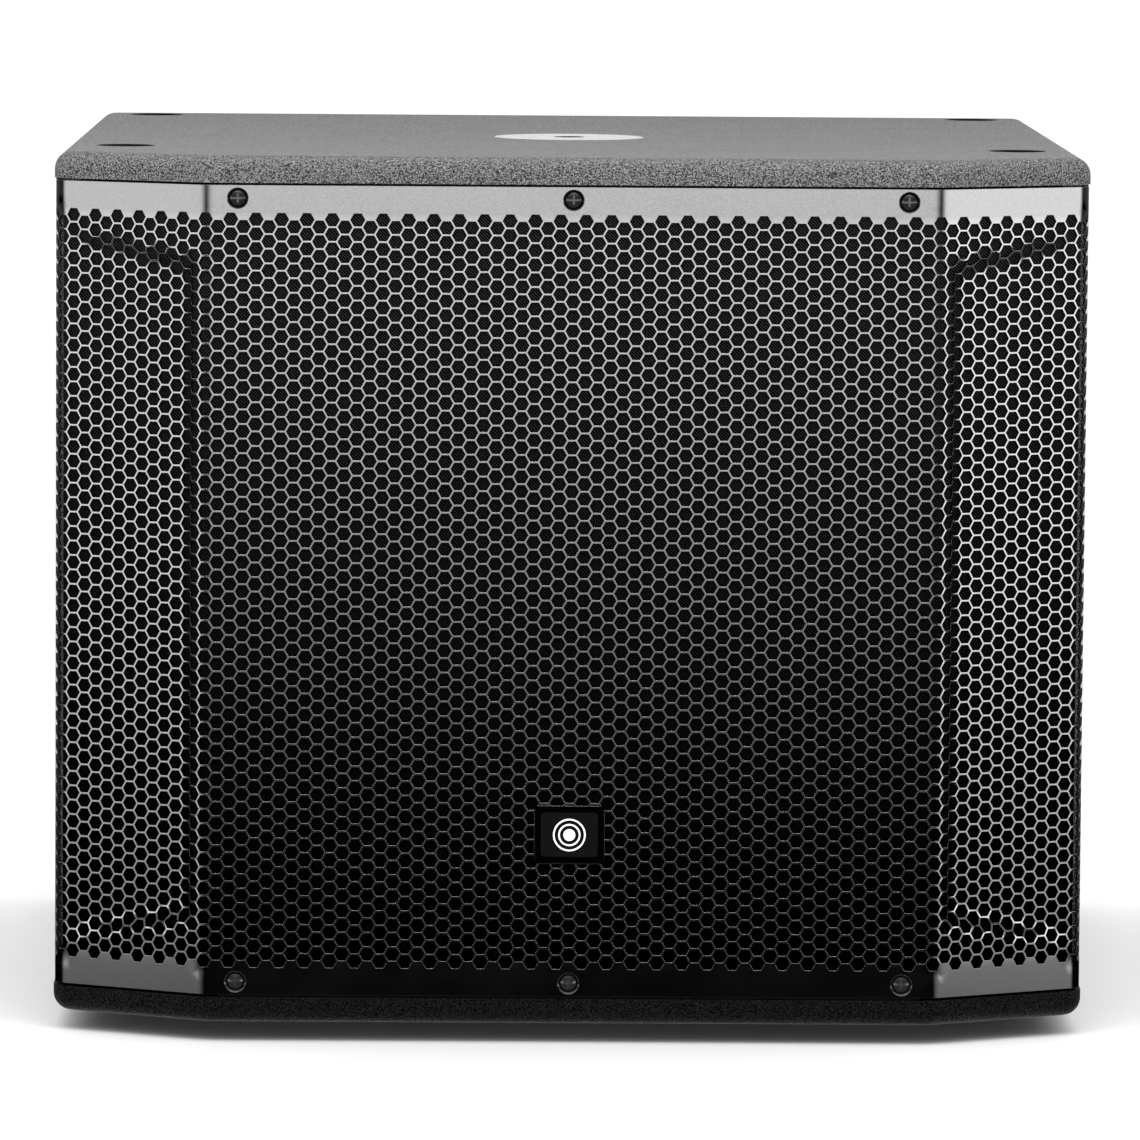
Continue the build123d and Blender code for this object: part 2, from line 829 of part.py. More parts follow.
with BuildPart() as amp_gasket:
    with BuildSketch(facing_front(rear_y)):
        with Locations((0, mid_z)):
            RectangleRounded(amp_size[0] - 2, amp_size[1] - 2, 8)
            RectangleRounded(amp_cut[0] + 2, amp_cut[1] + 2, 8, mode=Mode.SUBTRACT)
        with Locations(*amp_screw_spots):
            Circle(plate_screw_r, mode=Mode.SUBTRACT)
    extrude(amount=-amp_gasket_t)

socket_spots = [(x, z) for x in socket_x for z in (input_z, thru_z)]
with BuildPart() as amp_plate:
    with BuildSketch(amp_face):
        with Locations((0, mid_z)):
            RectangleRounded(*amp_size, 8)
        with Locations(*amp_screw_spots):
            Circle(plate_screw_r, mode=Mode.SUBTRACT)
        with Locations(*socket_spots):
            Circle(socket_r + 0.2, mode=Mode.SUBTRACT)
        with Locations(*[(x, input_z + tab_z) for x in socket_x]):
            Rectangle(*tab_slot, mode=Mode.SUBTRACT)
        with Locations(*[(x, knob_z) for x in socket_x], (menu_x, knob_z)):
            Circle(shaft_r + 0.4, mode=Mode.SUBTRACT)
        with Locations((button_x, button_z)):
            RectangleRounded(button_size[0] + 0.8, button_size[1] + 0.8, 1.5, mode=Mode.SUBTRACT)
        with Locations((mains_x, mains_z)):
            Circle(13.2, mode=Mode.SUBTRACT)
        with Locations((mains_x, rocker_z)):
            Rectangle(20.4, 28.4, mode=Mode.SUBTRACT)
        with Locations(*[(x, light_z) for x in light_x]):
            Circle(light_r + 0.1, mode=Mode.SUBTRACT)
    extrude(amount=amp_plate_t)
    chamfer(amp_plate.faces().sort_by(Axis.Y)[-1].outer_wire().edges(), 0.8)

chassis_y = plate_in - amp_depth
lead_entry = (100, 240)
with BuildPart() as amp_chassis:
    half_x, half_z = chassis_half
    slab((-half_x, half_x), (chassis_y, plate_in), (mid_z - half_z, mid_z + half_z))
    half_x -= sheet_t
    half_z -= sheet_t
    hollow = (chassis_y + sheet_t, plate_in)
    slab((-half_x, half_x), hollow, (mid_z - half_z, mid_z + half_z), mode=Mode.SUBTRACT)
    with BuildSketch(facing_front(chassis_y)):
        with Locations(lead_entry):
            Circle(8)
    extrude(amount=-2 * sheet_t, mode=Mode.SUBTRACT)

with BuildPart() as heat_sink:
    with BuildSketch(amp_face):
        with Locations((0, heat_z)):
            Rectangle(*heat_size)
    extrude(amount=-fin_base)
    with BuildSketch(facing_front(plate_out + fin_base)):
        with Locations((0, heat_z)):
            with GridLocations((heat_size[0] - fin_t) / (fin_count - 1), 1, fin_count, 1):
                Rectangle(fin_t, heat_size[1])
    extrude(amount=-fin_h)

amp_screw = cross_screw(4, 1.9, 1.75, 17)
with BuildPart() as amp_screws:
    with Locations(*[facing((x, plate_out, z), rear, (-1, 0, 0)) for x, z in amp_screw_spots]):
        add(amp_screw)

with BuildPart() as display_window:
    with BuildSketch(amp_face):
        with Locations(display_at):
            RectangleRounded(*display_size, 3)
    extrude(amount=-1.5)
    with BuildSketch(facing_front(plate_out + 1.5)):
        with Locations(display_at):
            Rectangle(display_size[0] - 12, display_size[1] - 12)
    extrude(amount=0.5, mode=Mode.SUBTRACT)


def knob(x, radius, tall, ribs):
    """Ribbed knob on its shaft, standing out of the amplifier plate."""
    with BuildPart() as turned:
        with BuildSketch(facing_front(plate_out + knob_gap)):
            with Locations((x, knob_z)):
                Circle(radius)
                with PolarLocations(radius, ribs):
                    Circle(0.9, mode=Mode.SUBTRACT)
        extrude(amount=-tall)
        chamfer(turned.faces().sort_by(Axis.Y)[-1].edges(), 0.35)
        with BuildSketch(facing_front(plate_out + knob_gap + tall)):
            with Locations((x, knob_z + radius / 2 + 1)):
                Rectangle(1.4, radius - 4)
        extrude(amount=0.8, mode=Mode.SUBTRACT)
        with BuildSketch(facing_front(plate_out + knob_gap)):
            with Locations((x, knob_z)):
                Circle(shaft_r)
        extrude(amount=14)
    return turned.part


gain_a = knob(socket_x[0], knob_r, knob_h, 16)
with BuildPart() as gain_knob_a:
    add(gain_a)
gain_b = knob(socket_x[1], knob_r, knob_h, 16)
with BuildPart() as gain_knob_b:
    add(gain_b)
menu = knob(menu_x, menu_r, knob_h + 1, 24)
with BuildPart() as menu_knob:
    add(menu)

with BuildPart() as control_pots:
    with BuildSketch(facing_front(plate_in)):
        with Locations(*[(x, knob_z) for x in socket_x], (menu_x, knob_z)):
            Rectangle(16, 16)
            Circle(shaft_r + 0.3, mode=Mode.SUBTRACT)
    extrude(amount=12)

with BuildPart() as back_button:
    with BuildSketch(facing_front(plate_out + 2)):
        with Locations((button_x, button_z)):
            RectangleRounded(*button_size, 1.2)
    extrude(amount=8)
    fillet(back_button.faces().sort_by(Axis.Y)[-1].edges(), 0.6)


def socket_shell(cavity_depth):
    """Round audio connector shell centred on the origin plane, face up."""
    with BuildPart() as shell:
        with BuildSketch():
            RectangleRounded(*shell_flange, 3)
        extrude(amount=shell_flange_t)
        with BuildSketch():
            Circle(socket_r)
        extrude(amount=-shell_depth)
        with BuildSketch(Plane.XY.offset(shell_flange_t)):
            Circle(cavity_r)
        extrude(amount=-cavity_depth, mode=Mode.SUBTRACT)
        with BuildSketch(Plane.XY.offset(shell_flange_t)):
            with Locations((10, 12.5), (-10, -12.5)):
                Circle(1.5)
        extrude(amount=-1, mode=Mode.SUBTRACT)
    return shell.part


input_shell = socket_shell(16)
with BuildPart() as input_body:
    add(input_shell)
    with BuildSketch(Plane.XY.offset(-14)):
        Circle(insert_r)
        Circle(jack_r, mode=Mode.SUBTRACT)
        with PolarLocations(5.3, 3, start_angle=30):
            Circle(1.3, mode=Mode.SUBTRACT)
    extrude(amount=15)
    with BuildSketch(Plane.XY.offset(shell_flange_t)):
        with Locations((0, tab_z)):
            Rectangle(*tab_slot)
    extrude(amount=-6, mode=Mode.SUBTRACT)
with BuildPart() as input_sockets:
    with Locations(*[facing((x, plate_out, input_z), rear, (-1, 0, 0)) for x in socket_x]):
        add(input_body.part)

thru_shell = socket_shell(17)
with BuildPart() as thru_body:
    add(thru_shell)
    with BuildSketch(Plane.XY.offset(-15)):
        with PolarLocations(4.8, 3, start_angle=-90):
            Circle(1.2)
    extrude(amount=13)
with BuildPart() as thru_sockets:
    with Locations(*[facing((x, plate_out, thru_z), rear, (-1, 0, 0)) for x in socket_x]):
        add(thru_body.part)


def latch(x):
    """Release tab above an input socket."""
    with BuildPart() as tab:
        slab(
            (x - tab_size[0] / 2, x + tab_size[0] / 2),
            (plate_out + tab_root, plate_out + tab_rise),
            (input_z + tab_z - tab_size[1] / 2, input_z + tab_z + tab_size[1] / 2),
        )
        fillet(tab.faces().sort_by(Axis.Y)[-1].edges(), 0.7)
    return tab.part


latch_left = latch(socket_x[0])
with BuildPart() as latch_tab_a:
    add(latch_left)
latch_right = latch(socket_x[1])
with BuildPart() as latch_tab_b:
    add(latch_right)

with BuildPart() as mains_inlet:
    with BuildSketch(amp_face):
        with Locations((mains_x, mains_z)):
            RectangleRounded(28, 34, 4)
    extrude(amount=-2.5)
    with BuildSketch(amp_face):
        with Locations((mains_x, mains_z)):
            Circle(13)
    extrude(amount=28)
    with BuildSketch(facing_front(plate_out + 2.5)):
        with Locations((mains_x, mains_z)):
            Circle(11.2)
            Circle(7.2, mode=Mode.SUBTRACT)
    extrude(amount=22, mode=Mode.SUBTRACT)
    with BuildSketch(facing_front(plate_out + 2.5)):
        with Locations((mains_x, mains_z)):
            with PolarLocations(3.8, 3, start_angle=90):
                Rectangle(1.2, 4)
    extrude(amount=14, mode=Mode.SUBTRACT)

rocker_axis_y = plate_out - 2
with BuildPart() as rocker_housing:
    with BuildSketch(amp_face):
        with Locations((mains_x, rocker_z)):
            RectangleRounded(24, 32, 2)
    extrude(amount=-1.6)
    with BuildSketch(amp_face):
        with Locations((mains_x, rocker_z)):
            Rectangle(20, 28)
    extrude(amount=20)
    slab(
        (mains_x - 7.5, mains_x + 7.5),
        (plate_out - 15, plate_out + 2),
        (rocker_z - 12, rocker_z + 12),
        mode=Mode.SUBTRACT,
    )
    with BuildSketch(Plane.YZ.offset(mains_x)):
        with Locations((rocker_axis_y, rocker_z)):
            Circle(pin_r + 0.15)
    extrude(amount=9.2, both=True, mode=Mode.SUBTRACT)

tilt = radians(rocker_tilt)
rocker_plane = facing((mains_x, rocker_axis_y, rocker_z), (1, 0, 0), (0, cos(tilt), sin(tilt)))
rocker_profile = [(-6, -6), (3.5, -10.5), (5.6, -10), (3.8, 0), (5.6, 10), (3.5, 10.5), (-6, 6)]
with BuildPart() as power_rocker:
    with BuildSketch(rocker_plane):
        with BuildLine():
            Polyline(*rocker_profile, close=True)
        make_face()
    extrude(amount=7, both=True)
    with BuildSketch(rocker_plane):
        Circle(pin_r)
    extrude(amount=9, both=True)

with BuildPart() as status_lights:
    with BuildSketch(facing_front(plate_out + 1.2)):
        with Locations(*[(x, light_z) for x in light_x]):
            Circle(light_r)
    extrude(amount=8)
    fillet(status_lights.edges().group_by(Axis.Y)[-1], 1)

board_y = chassis_y + board_gap
with BuildPart() as amp_board:
    slab((-185, 185), (board_y, board_y + board_t), (mid_z - 125, mid_z + 125))
    with Locations(*[(x, board_y - 4.25, mid_z + z) for x in (-170, 170) for z in (-110, 110)]):
        Cylinder(3, 8.5, rotation=(90, 0, 0))

toroid_at = (-90, mid_z - 60)
with BuildPart() as power_transformer:
    with BuildSketch(facing_front(board_y + board_t)):
        with Locations(toroid_at):
            Circle(toroid_r[1])
            Circle(toroid_r[0], mode=Mode.SUBTRACT)
    extrude(amount=-toroid_h)
    fillet(power_transformer.edges().filter_by(GeomType.CIRCLE), 7)

lead_turn = radians(terminal_turn)
lead_start = (driver_x + 125 * cos(lead_turn), mid_z + 125 * sin(lead_turn))
lead_y = baffle_y + 129
with BuildPart() as speaker_leads:
    for step in (-1, 1):
        offset_x = step * 3
        with BuildLine() as route:
            FilletPolyline(
                (lead_start[0] + offset_x, lead_y, lead_start[1] + offset_x),
                (lead_start[0] + offset_x, lead_y + 55, lead_start[1] + offset_x),
                (140 + offset_x, -20, 208),
                (130 + offset_x, 90, 215),
                (lead_entry[0] + offset_x, 190, lead_entry[1]),
                (lead_entry[0] + offset_x, board_y, lead_entry[1]),
                radius=60,
            )
        with BuildSketch(Plane(origin=route.wire() @ 0, z_dir=route.wire() % 0)):
            Circle(lead_r)
        sweep(path=route.wire())

# ================================================================ export
top_panel.part.label = "top_panel"
export_step(top_panel.part, "parts/top_panel.step")
bottom_panel.part.label = "bottom_panel"
export_step(bottom_panel.part, "parts/bottom_panel.step")
left_side_panel.part.label = "left_side_panel"
export_step(left_side_panel.part, "parts/left_side_panel.step")
right_side_panel.part.label = "right_side_panel"
export_step(right_side_panel.part, "parts/right_side_panel.step")
rear_panel.part.label = "rear_panel"
export_step(rear_panel.part, "parts/rear_panel.step")
front_baffle.part.label = "front_baffle"
export_step(front_baffle.part, "parts/front_baffle.step")
port_wall.part.label = "port_wall"
export_step(port_wall.part, "parts/port_wall.step")
port_braces.part.label = "port_braces"
export_step(port_braces.part, "parts/port_braces.step")
window_brace.part.label = "window_brace"
export_step(window_brace.part, "parts/window_brace.step")
acoustic_lining.part.label = "acoustic_lining"
export_step(acoustic_lining.part, "parts/acoustic_lining.step")
front_grille.part.label = "front_grille"
export_step(front_grille.part, "parts/front_grille.step")
grille_rails.part.label = "grille_rails"
export_step(grille_rails.part, "parts/grille_rails.step")
grille_foam.part.label = "grille_foam"
export_step(grille_foam.part, "parts/grille_foam.step")
grille_screws.part.label = "grille_screws"
export_step(grille_screws.part, "parts/grille_screws.step")
badge.part.label = "badge"
export_step(badge.part, "parts/badge.step")
feet.part.label = "feet"
export_step(feet.part, "parts/feet.step")
foot_screws.part.label = "foot_screws"
export_step(foot_screws.part, "parts/foot_screws.step")
stacking_cups.part.label = "stacking_cups"
export_step(stacking_cups.part, "parts/stacking_cups.step")
cup_screws.part.label = "cup_screws"
export_step(cup_screws.part, "parts/cup_screws.step")
pole_plate.part.label = "pole_plate"
export_step(pole_plate.part, "parts/pole_plate.step")
pole_lock_nut.part.label = "pole_lock_nut"
export_step(pole_lock_nut.part, "parts/pole_lock_nut.step")
left_handle.part.label = "left_handle"
export_step(left_handle.part, "parts/left_handle.step")
right_handle.part.label = "right_handle"
export_step(right_handle.part, "parts/right_handle.step")
handle_screws.part.label = "handle_screws"
export_step(handle_screws.part, "parts/handle_screws.step")
driver_frame.part.label = "driver_frame"
export_step(driver_frame.part, "parts/driver_frame.step")
driver_gasket.part.label = "driver_gasket"
export_step(driver_gasket.part, "parts/driver_gasket.step")
top_plate.part.label = "top_plate"
export_step(top_plate.part, "parts/top_plate.step")
magnet.part.label = "magnet"
export_step(magnet.part, "parts/magnet.step")
back_plate.part.label = "back_plate"
export_step(back_plate.part, "parts/back_plate.step")
voice_coil_former.part.label = "voice_coil_former"
export_step(voice_coil_former.part, "parts/voice_coil_former.step")
voice_coil_winding.part.label = "voice_coil_winding"
export_step(voice_coil_winding.part, "parts/voice_coil_winding.step")
cone.part.label = "cone"
export_step(cone.part, "parts/cone.step")
dust_cap.part.label = "dust_cap"
export_step(dust_cap.part, "parts/dust_cap.step")
surround.part.label = "surround"
export_step(surround.part, "parts/surround.step")
spider.part.label = "spider"
export_step(spider.part, "parts/spider.step")
driver_terminals.part.label = "driver_terminals"
export_step(driver_terminals.part, "parts/driver_terminals.step")
driver_bolts.part.label = "driver_bolts"
export_step(driver_bolts.part, "parts/driver_bolts.step")
t_nuts.part.label = "t_nuts"
export_step(t_nuts.part, "parts/t_nuts.step")
amp_gasket.part.label = "amp_gasket"
export_step(amp_gasket.part, "parts/amp_gasket.step")
amp_plate.part.label = "amp_plate"
export_step(amp_plate.part, "parts/amp_plate.step")
amp_chassis.part.label = "amp_chassis"
export_step(amp_chassis.part, "parts/amp_chassis.step")
heat_sink.part.label = "heat_sink"
export_step(heat_sink.part, "parts/heat_sink.step")
amp_screws.part.label = "amp_screws"
export_step(amp_screws.part, "parts/amp_screws.step")
display_window.part.label = "display_window"
export_step(display_window.part, "parts/display_window.step")
gain_knob_a.part.label = "gain_knob_a"
export_step(gain_knob_a.part, "parts/gain_knob_a.step")
gain_knob_b.part.label = "gain_knob_b"
export_step(gain_knob_b.part, "parts/gain_knob_b.step")
menu_knob.part.label = "menu_knob"
export_step(menu_knob.part, "parts/menu_knob.step")
control_pots.part.label = "control_pots"
export_step(control_pots.part, "parts/control_pots.step")
back_button.part.label = "back_button"
export_step(back_button.part, "parts/back_button.step")
input_sockets.part.label = "input_sockets"
export_step(input_sockets.part, "parts/input_sockets.step")
thru_sockets.part.label = "thru_sockets"
export_step(thru_sockets.part, "parts/thru_sockets.step")
latch_tab_a.part.label = "latch_tab_a"
export_step(latch_tab_a.part, "parts/latch_tab_a.step")
latch_tab_b.part.label = "latch_tab_b"
export_step(latch_tab_b.part, "parts/latch_tab_b.step")
mains_inlet.part.label = "mains_inlet"
export_step(mains_inlet.part, "parts/mains_inlet.step")
rocker_housing.part.label = "rocker_housing"
export_step(rocker_housing.part, "parts/rocker_housing.step")
power_rocker.part.label = "power_rocker"
export_step(power_rocker.part, "parts/power_rocker.step")
status_lights.part.label = "status_lights"
export_step(status_lights.part, "parts/status_lights.step")
amp_board.part.label = "amp_board"
export_step(amp_board.part, "parts/amp_board.step")
power_transformer.part.label = "power_transformer"
export_step(power_transformer.part, "parts/power_transformer.step")
speaker_leads.part.label = "speaker_leads"
export_step(speaker_leads.part, "parts/speaker_leads.step")
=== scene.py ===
"""Looks of the subwoofer cabinet: perforated grille, foam, driver suspension, materials, light and camera.

Lengths are written in millimetres and scaled by MM. The frame's origin is under the middle of the feet.
"""

from math import atan2, ceil, cos, hypot, pi, radians, sin, sqrt, tan

import bpy
from mathutils import Matrix, Vector
from mathutils.geometry import delaunay_2d_cdt


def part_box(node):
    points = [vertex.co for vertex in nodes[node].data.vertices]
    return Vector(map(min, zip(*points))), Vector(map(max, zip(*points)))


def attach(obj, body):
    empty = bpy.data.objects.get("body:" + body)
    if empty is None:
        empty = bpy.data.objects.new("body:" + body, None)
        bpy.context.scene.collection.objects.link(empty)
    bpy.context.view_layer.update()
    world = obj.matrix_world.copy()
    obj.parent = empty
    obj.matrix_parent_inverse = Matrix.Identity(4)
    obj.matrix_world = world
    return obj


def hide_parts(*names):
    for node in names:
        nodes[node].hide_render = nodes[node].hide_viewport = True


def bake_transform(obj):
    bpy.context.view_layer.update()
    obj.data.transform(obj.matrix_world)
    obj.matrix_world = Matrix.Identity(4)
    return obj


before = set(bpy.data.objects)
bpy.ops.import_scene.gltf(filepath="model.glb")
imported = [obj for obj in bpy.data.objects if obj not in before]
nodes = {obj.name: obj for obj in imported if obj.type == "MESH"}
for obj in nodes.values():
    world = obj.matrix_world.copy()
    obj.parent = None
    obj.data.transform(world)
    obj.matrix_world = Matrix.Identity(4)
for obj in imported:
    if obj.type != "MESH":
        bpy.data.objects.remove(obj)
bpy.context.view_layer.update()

MM = 0.001


def span(name):
    """Low and high corner of a CAD node in millimetres."""
    low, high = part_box(name)
    return [c / MM for c in low], [c / MM for c in high]


# ---------------------------------------------------------------- sizes
grille_low, grille_high = span("front_grille")
front = grille_low[1]
side = grille_high[0]
return_end = grille_high[1]
mid_z = (grille_low[2] + grille_high[2]) / 2
sheet_t = 1.5
flat_half = 245.75  # middle facet, up to the fold's corner
facet_back = 54.6  # the side facets' outer corners lie this far behind the middle facet
facet_angle = atan2(facet_back, side - flat_half)
fold_r = 24  # between the middle facet and a side facet
bend_r = 14  # between a side facet and the return along the cabinet's side
badge_low, badge_high = span("badge")
dish = (23, 19)  # half width and height of the badge's pocket
dish_z = (badge_low[2] + badge_high[2]) / 2


# ---------------------------------------------------------------- shader helpers
def shader(name, colour, roughness, metallic=0.0, **sockets):
    """A new Principled material with its constant values on its own sockets."""
    made = bpy.data.materials.new(name)
    made.use_nodes = True
    tree = made.node_tree
    bsdf = tree.nodes["Principled BSDF"]
    bsdf.inputs["Base Color"].default_value = (*colour, 1)
    bsdf.inputs["Roughness"].default_value = roughness
    bsdf.inputs["Metallic"].default_value = metallic
    for socket, value in sockets.items():
        bsdf.inputs[socket.replace("_", " ")].default_value = value
    return made, tree, bsdf


def node(tree, kind, inputs=None, **settings):
    """A shader node with its settings, and its inputs set or linked."""
    made = tree.nodes.new("ShaderNode" + kind)
    for key, value in settings.items():
        setattr(made, key, value)
    for key, value in (inputs or {}).items():
        if isinstance(value, bpy.types.NodeSocket):
            tree.links.new(value, made.inputs[key])
        else:
            made.inputs[key].default_value = value
    return made


def object_coords(tree):
    """Coordinates in metres, which ride with the object."""
    return node(tree, "TexCoord").outputs["Object"]


def noise(tree, grain_mm, detail=4.0, rough=0.55, coords=None):
    """Noise whose features are about grain_mm across."""
    inputs = {
        "Vector": coords or object_coords(tree),
        "Scale": 1 / (grain_mm * MM),
        "Detail": detail,
        "Roughness": rough,
    }
    return node(tree, "TexNoise", inputs).outputs["Fac"]


def spread(tree, value, low, high, start=0.3, end=0.7):
    """Maps start to end onto low to high, which are held beyond them."""
    inputs = {"Value": value, "From Min": start, "From Max": end, "To Min": low, "To Max": high}
    return node(tree, "MapRange", inputs).outputs["Result"]


def tint(tree, fac, dark, light):
    """Colour between dark and light, each a colour or the output of another node."""
    ends = [c if isinstance(c, bpy.types.NodeSocket) else (*c, 1) for c in (dark, light)]
    mix = node(tree, "Mix", {0: fac, 6: ends[0], 7: ends[1]}, data_type="RGBA")
    return mix.outputs[2]


def grey(value):
    """A grey that is very slightly blue."""
    return (value, value, value * 1.02)


def along(tree, axis, start_mm, end_mm, low=0, high=1):
    """Maps a coordinate of the object between two places onto low to high."""
    place = node(tree, "SeparateXYZ", {"Vector": object_coords(tree)}).outputs[axis]
    return spread(tree, place, low, high, start_mm * MM, end_mm * MM)


def total(tree, first, second, kind="ADD"):
    """Sum of two values, or what another Math operation makes of them."""
    return node(tree, "Math", {0: first, 1: second}, operation=kind).outputs[0]


def upward(tree, normal):
    """How far a normal points up, from -1 to 1."""
    return node(tree, "SeparateXYZ", {"Vector": normal}).outputs["Z"]


def within(tree, axis, middle_mm, half_mm, fade_mm=1):
    """1 where a coordinate is within half_mm of the middle, fading to 0 just beyond it."""
    place = node(tree, "SeparateXYZ", {"Vector": object_coords(tree)}).outputs[axis]
    gap = node(tree, "Math", {0: total(tree, place, middle_mm * MM, "SUBTRACT")}, operation="ABSOLUTE")
    return spread(tree, gap.outputs[0], 1, 0, half_mm * MM, (half_mm + fade_mm) * MM)


def bump(tree, bsdf, height, depth_mm):
    """Relief from a height; returns its node."""
    made = node(tree, "Bump", {"Height": height, "Distance": depth_mm * MM})
    tree.links.new(made.outputs["Normal"], bsdf.inputs["Normal"])
    return made


def waves(tree, coords, pitch_mm, inputs=None, **settings):
    """Bands that repeat every pitch_mm."""
    period = 0.314  # of the Wave texture at scale 1, about 2 pi / 20
    values = {"Vector": coords, "Scale": period / (pitch_mm * MM), **(inputs or {})}
    return node(tree, "TexWave", values, **settings).outputs["Fac"]


# ---------------------------------------------------------------- materials
def grained(
    name,
    colour,
    roughness,
    grain_mm,
    depth_mm,
    vary=0.25,
    rough_vary=0.08,
    metallic=0.0,
    **sockets,
):
    """Moulded, cast, painted or rubber surface: mottled colour, uneven gloss and a fine grain."""
    made, tree, bsdf = shader(name, colour, roughness, metallic, **sockets)
    mottle = 22  # grains across one mottle
    broad = noise(tree, grain_mm * mottle, 3.0)
    fine = noise(tree, grain_mm, 6.0)
    dark = [c * (1 - vary) for c in colour]
    light = [min(c * (1 + vary), 1) for c in colour]
    tree.links.new(tint(tree, spread(tree, broad, 0, 1), dark, light), bsdf.inputs["Base Color"])
    uneven = total(tree, total(tree, broad, fine), 0.5, "MULTIPLY")
    gloss = spread(tree, uneven, roughness - rough_vary, roughness + rough_vary)
    tree.links.new(gloss, bsdf.inputs["Roughness"])
    bump(tree, bsdf, fine, depth_mm)
    return made


def textured_paint():
    """Rugged black coating with millimetre pimples whose tops carry painted highlights, duller to the back
    and fading into painted shade near the floor.
    """
    pimple_mm = 1.1
    grit_mm = 0.8
    grit_weight = 2.2
    cloud_mm = 60
    front_to_back = (-330, 330, 0.28, 0.66)  # from Y to Y, roughness to roughness
    floor_shade = (30, 150, 0.04, 1.0)  # from Z to Z, share of the colour and shine left by the painted shade near the floor
    made, tree, bsdf = shader("textured_paint", grey(0.01), 0.3)
    where = object_coords(tree)
    cells = node(tree, "TexVoronoi", {"Vector": where, "Scale": 1 / (pimple_mm * MM)}, feature="SMOOTH_F1")
    pimples = spread(tree, cells.outputs["Distance"], 1, 0, 0.1, 0.8)
    grit = noise(tree, grit_mm, 2.0, 0.6)
    height = total(tree, pimples, total(tree, grit, grit_weight, "MULTIPLY"))
    # The highest pimple tops are lightened in colour: a painted highlight standing in for glints of light.
    speckle_and_painted_glint = spread(tree, height, 0, 1, 1.3, 2.0)
    # Colour and shine fade towards the floor: painted shade.
    painted_floor_shade = along(tree, "Z", *floor_shade)
    painted_glint_mix = total(tree, speckle_and_painted_glint, painted_floor_shade, "MULTIPLY")
    tree.links.new(tint(tree, painted_glint_mix, grey(0.0008), grey(0.045)), bsdf.inputs["Base Color"])
    cloud = spread(tree, noise(tree, cloud_mm, 3.0), -0.02, 0.02)
    dull = total(tree, along(tree, "Y", *front_to_back), cloud)
    uneven = spread(tree, speckle_and_painted_glint, 0.07, -0.07, 0, 1)
    tree.links.new(total(tree, dull, uneven), bsdf.inputs["Roughness"])
    shine = total(tree, painted_floor_shade, spread(tree, speckle_and_painted_glint, 0.35, 3.2, 0, 1), "MULTIPLY")
    tree.links.new(shine, bsdf.inputs["Specular IOR Level"])
    bump(tree, bsdf, height, 0.7)
    return made


def powder_coat():
    """Glossy black powder coat with a very fine orange peel, painted highlights on its upward-facing edges
    and painted shade in the badge pocket, where its shine is turned off.
    """
    peel_mm = 0.8
    cloud_mm = 30
    edge_mm = 0.3
    holed = (246, 8)  # half height of the holed field, which shines more than the bands, and its fade
    made, tree, bsdf = shader("powder_coat", grey(0.004), 0.06)
    fine = noise(tree, peel_mm, 5.0)
    coat = tint(tree, spread(tree, fine, 0, 1), grey(0.0005), grey(0.001))
    tree.links.new(spread(tree, noise(tree, cloud_mm, 3.0), 0.05, 0.07), bsdf.inputs["Roughness"])
    among_holes = within(tree, "Z", mid_z, *holed)
    # Within the badge pocket the shine and the edge highlights are turned off: painted shade in the recess.
    pocket_shade_mask = total(tree, within(tree, "X", 0, dish[0]), within(tree, "Z", dish_z, dish[1]), "MULTIPLY")
    clear_of_pocket_shade = total(tree, 1, pocket_shade_mask, "SUBTRACT")
    shine = total(tree, total(tree, among_holes, 0.3, "MULTIPLY"), spread(tree, fine, 0.6, 0.8))
    tree.links.new(total(tree, shine, clear_of_pocket_shade, "MULTIPLY"), bsdf.inputs["Specular IOR Level"])
    relief = bump(tree, bsdf, fine, 0.002)
    rounded = node(tree, "Bevel", {"Radius": edge_mm * MM}).outputs["Normal"]
    tree.links.new(rounded, relief.inputs["Normal"])
    plain = node(tree, "NewGeometry").outputs["Normal"]
    # Edges whose rounding faces up are painted pale grey: a painted highlight.
    painted_highlight_tilt = total(tree, upward(tree, rounded), upward(tree, plain), "SUBTRACT")
    painted_edge_highlight = total(tree, spread(tree, painted_highlight_tilt, 0, 1, 0.25, 0.6), clear_of_pocket_shade, "MULTIPLY")
    tree.links.new(tint(tree, painted_edge_highlight, coat, grey(0.6)), bsdf.inputs["Base Color"])
    return made


def foam_cloth():
    """Cloth-faced foam with a fine diagonal rib and specks, and painted shade deepening to black towards
    the floor.
    """
    rib_mm = 1.6
    speck_mm = 0.9
    shaded = (60, 560)  # heights between which the painted shade's black gives way to the ribs
    shade_power = 1.6
    made, tree, bsdf = shader("foam_cloth", grey(0.004), 0.95, Specular_IOR_Level=0.0)
    tilt = {"Vector": object_coords(tree), "Rotation": (0, radians(45), 0)}
    tilted = node(tree, "Mapping", tilt).outputs[0]
    ribs = waves(tree, tilted, rib_mm, {"Distortion": 1.2, "Detail": 2.0, "Detail Scale": 3.0})
    specks = noise(tree, speck_mm, 3.0)
    tone = spread(tree, total(tree, ribs, spread(tree, specks, -0.3, 0.3)), 0, 1, 0.3, 0.9)
    ribbed = tint(tree, tone, grey(0.0002), grey(0.028))
    # The colour fades to black towards the floor: painted shade.
    painted_foam_shade = total(tree, along(tree, "Z", *shaded), shade_power, "POWER")
    tree.links.new(tint(tree, painted_foam_shade, grey(0.0003), ribbed), bsdf.inputs["Base Color"])
    bump(tree, bsdf, total(tree, ribs, specks), 0.5)
    return made


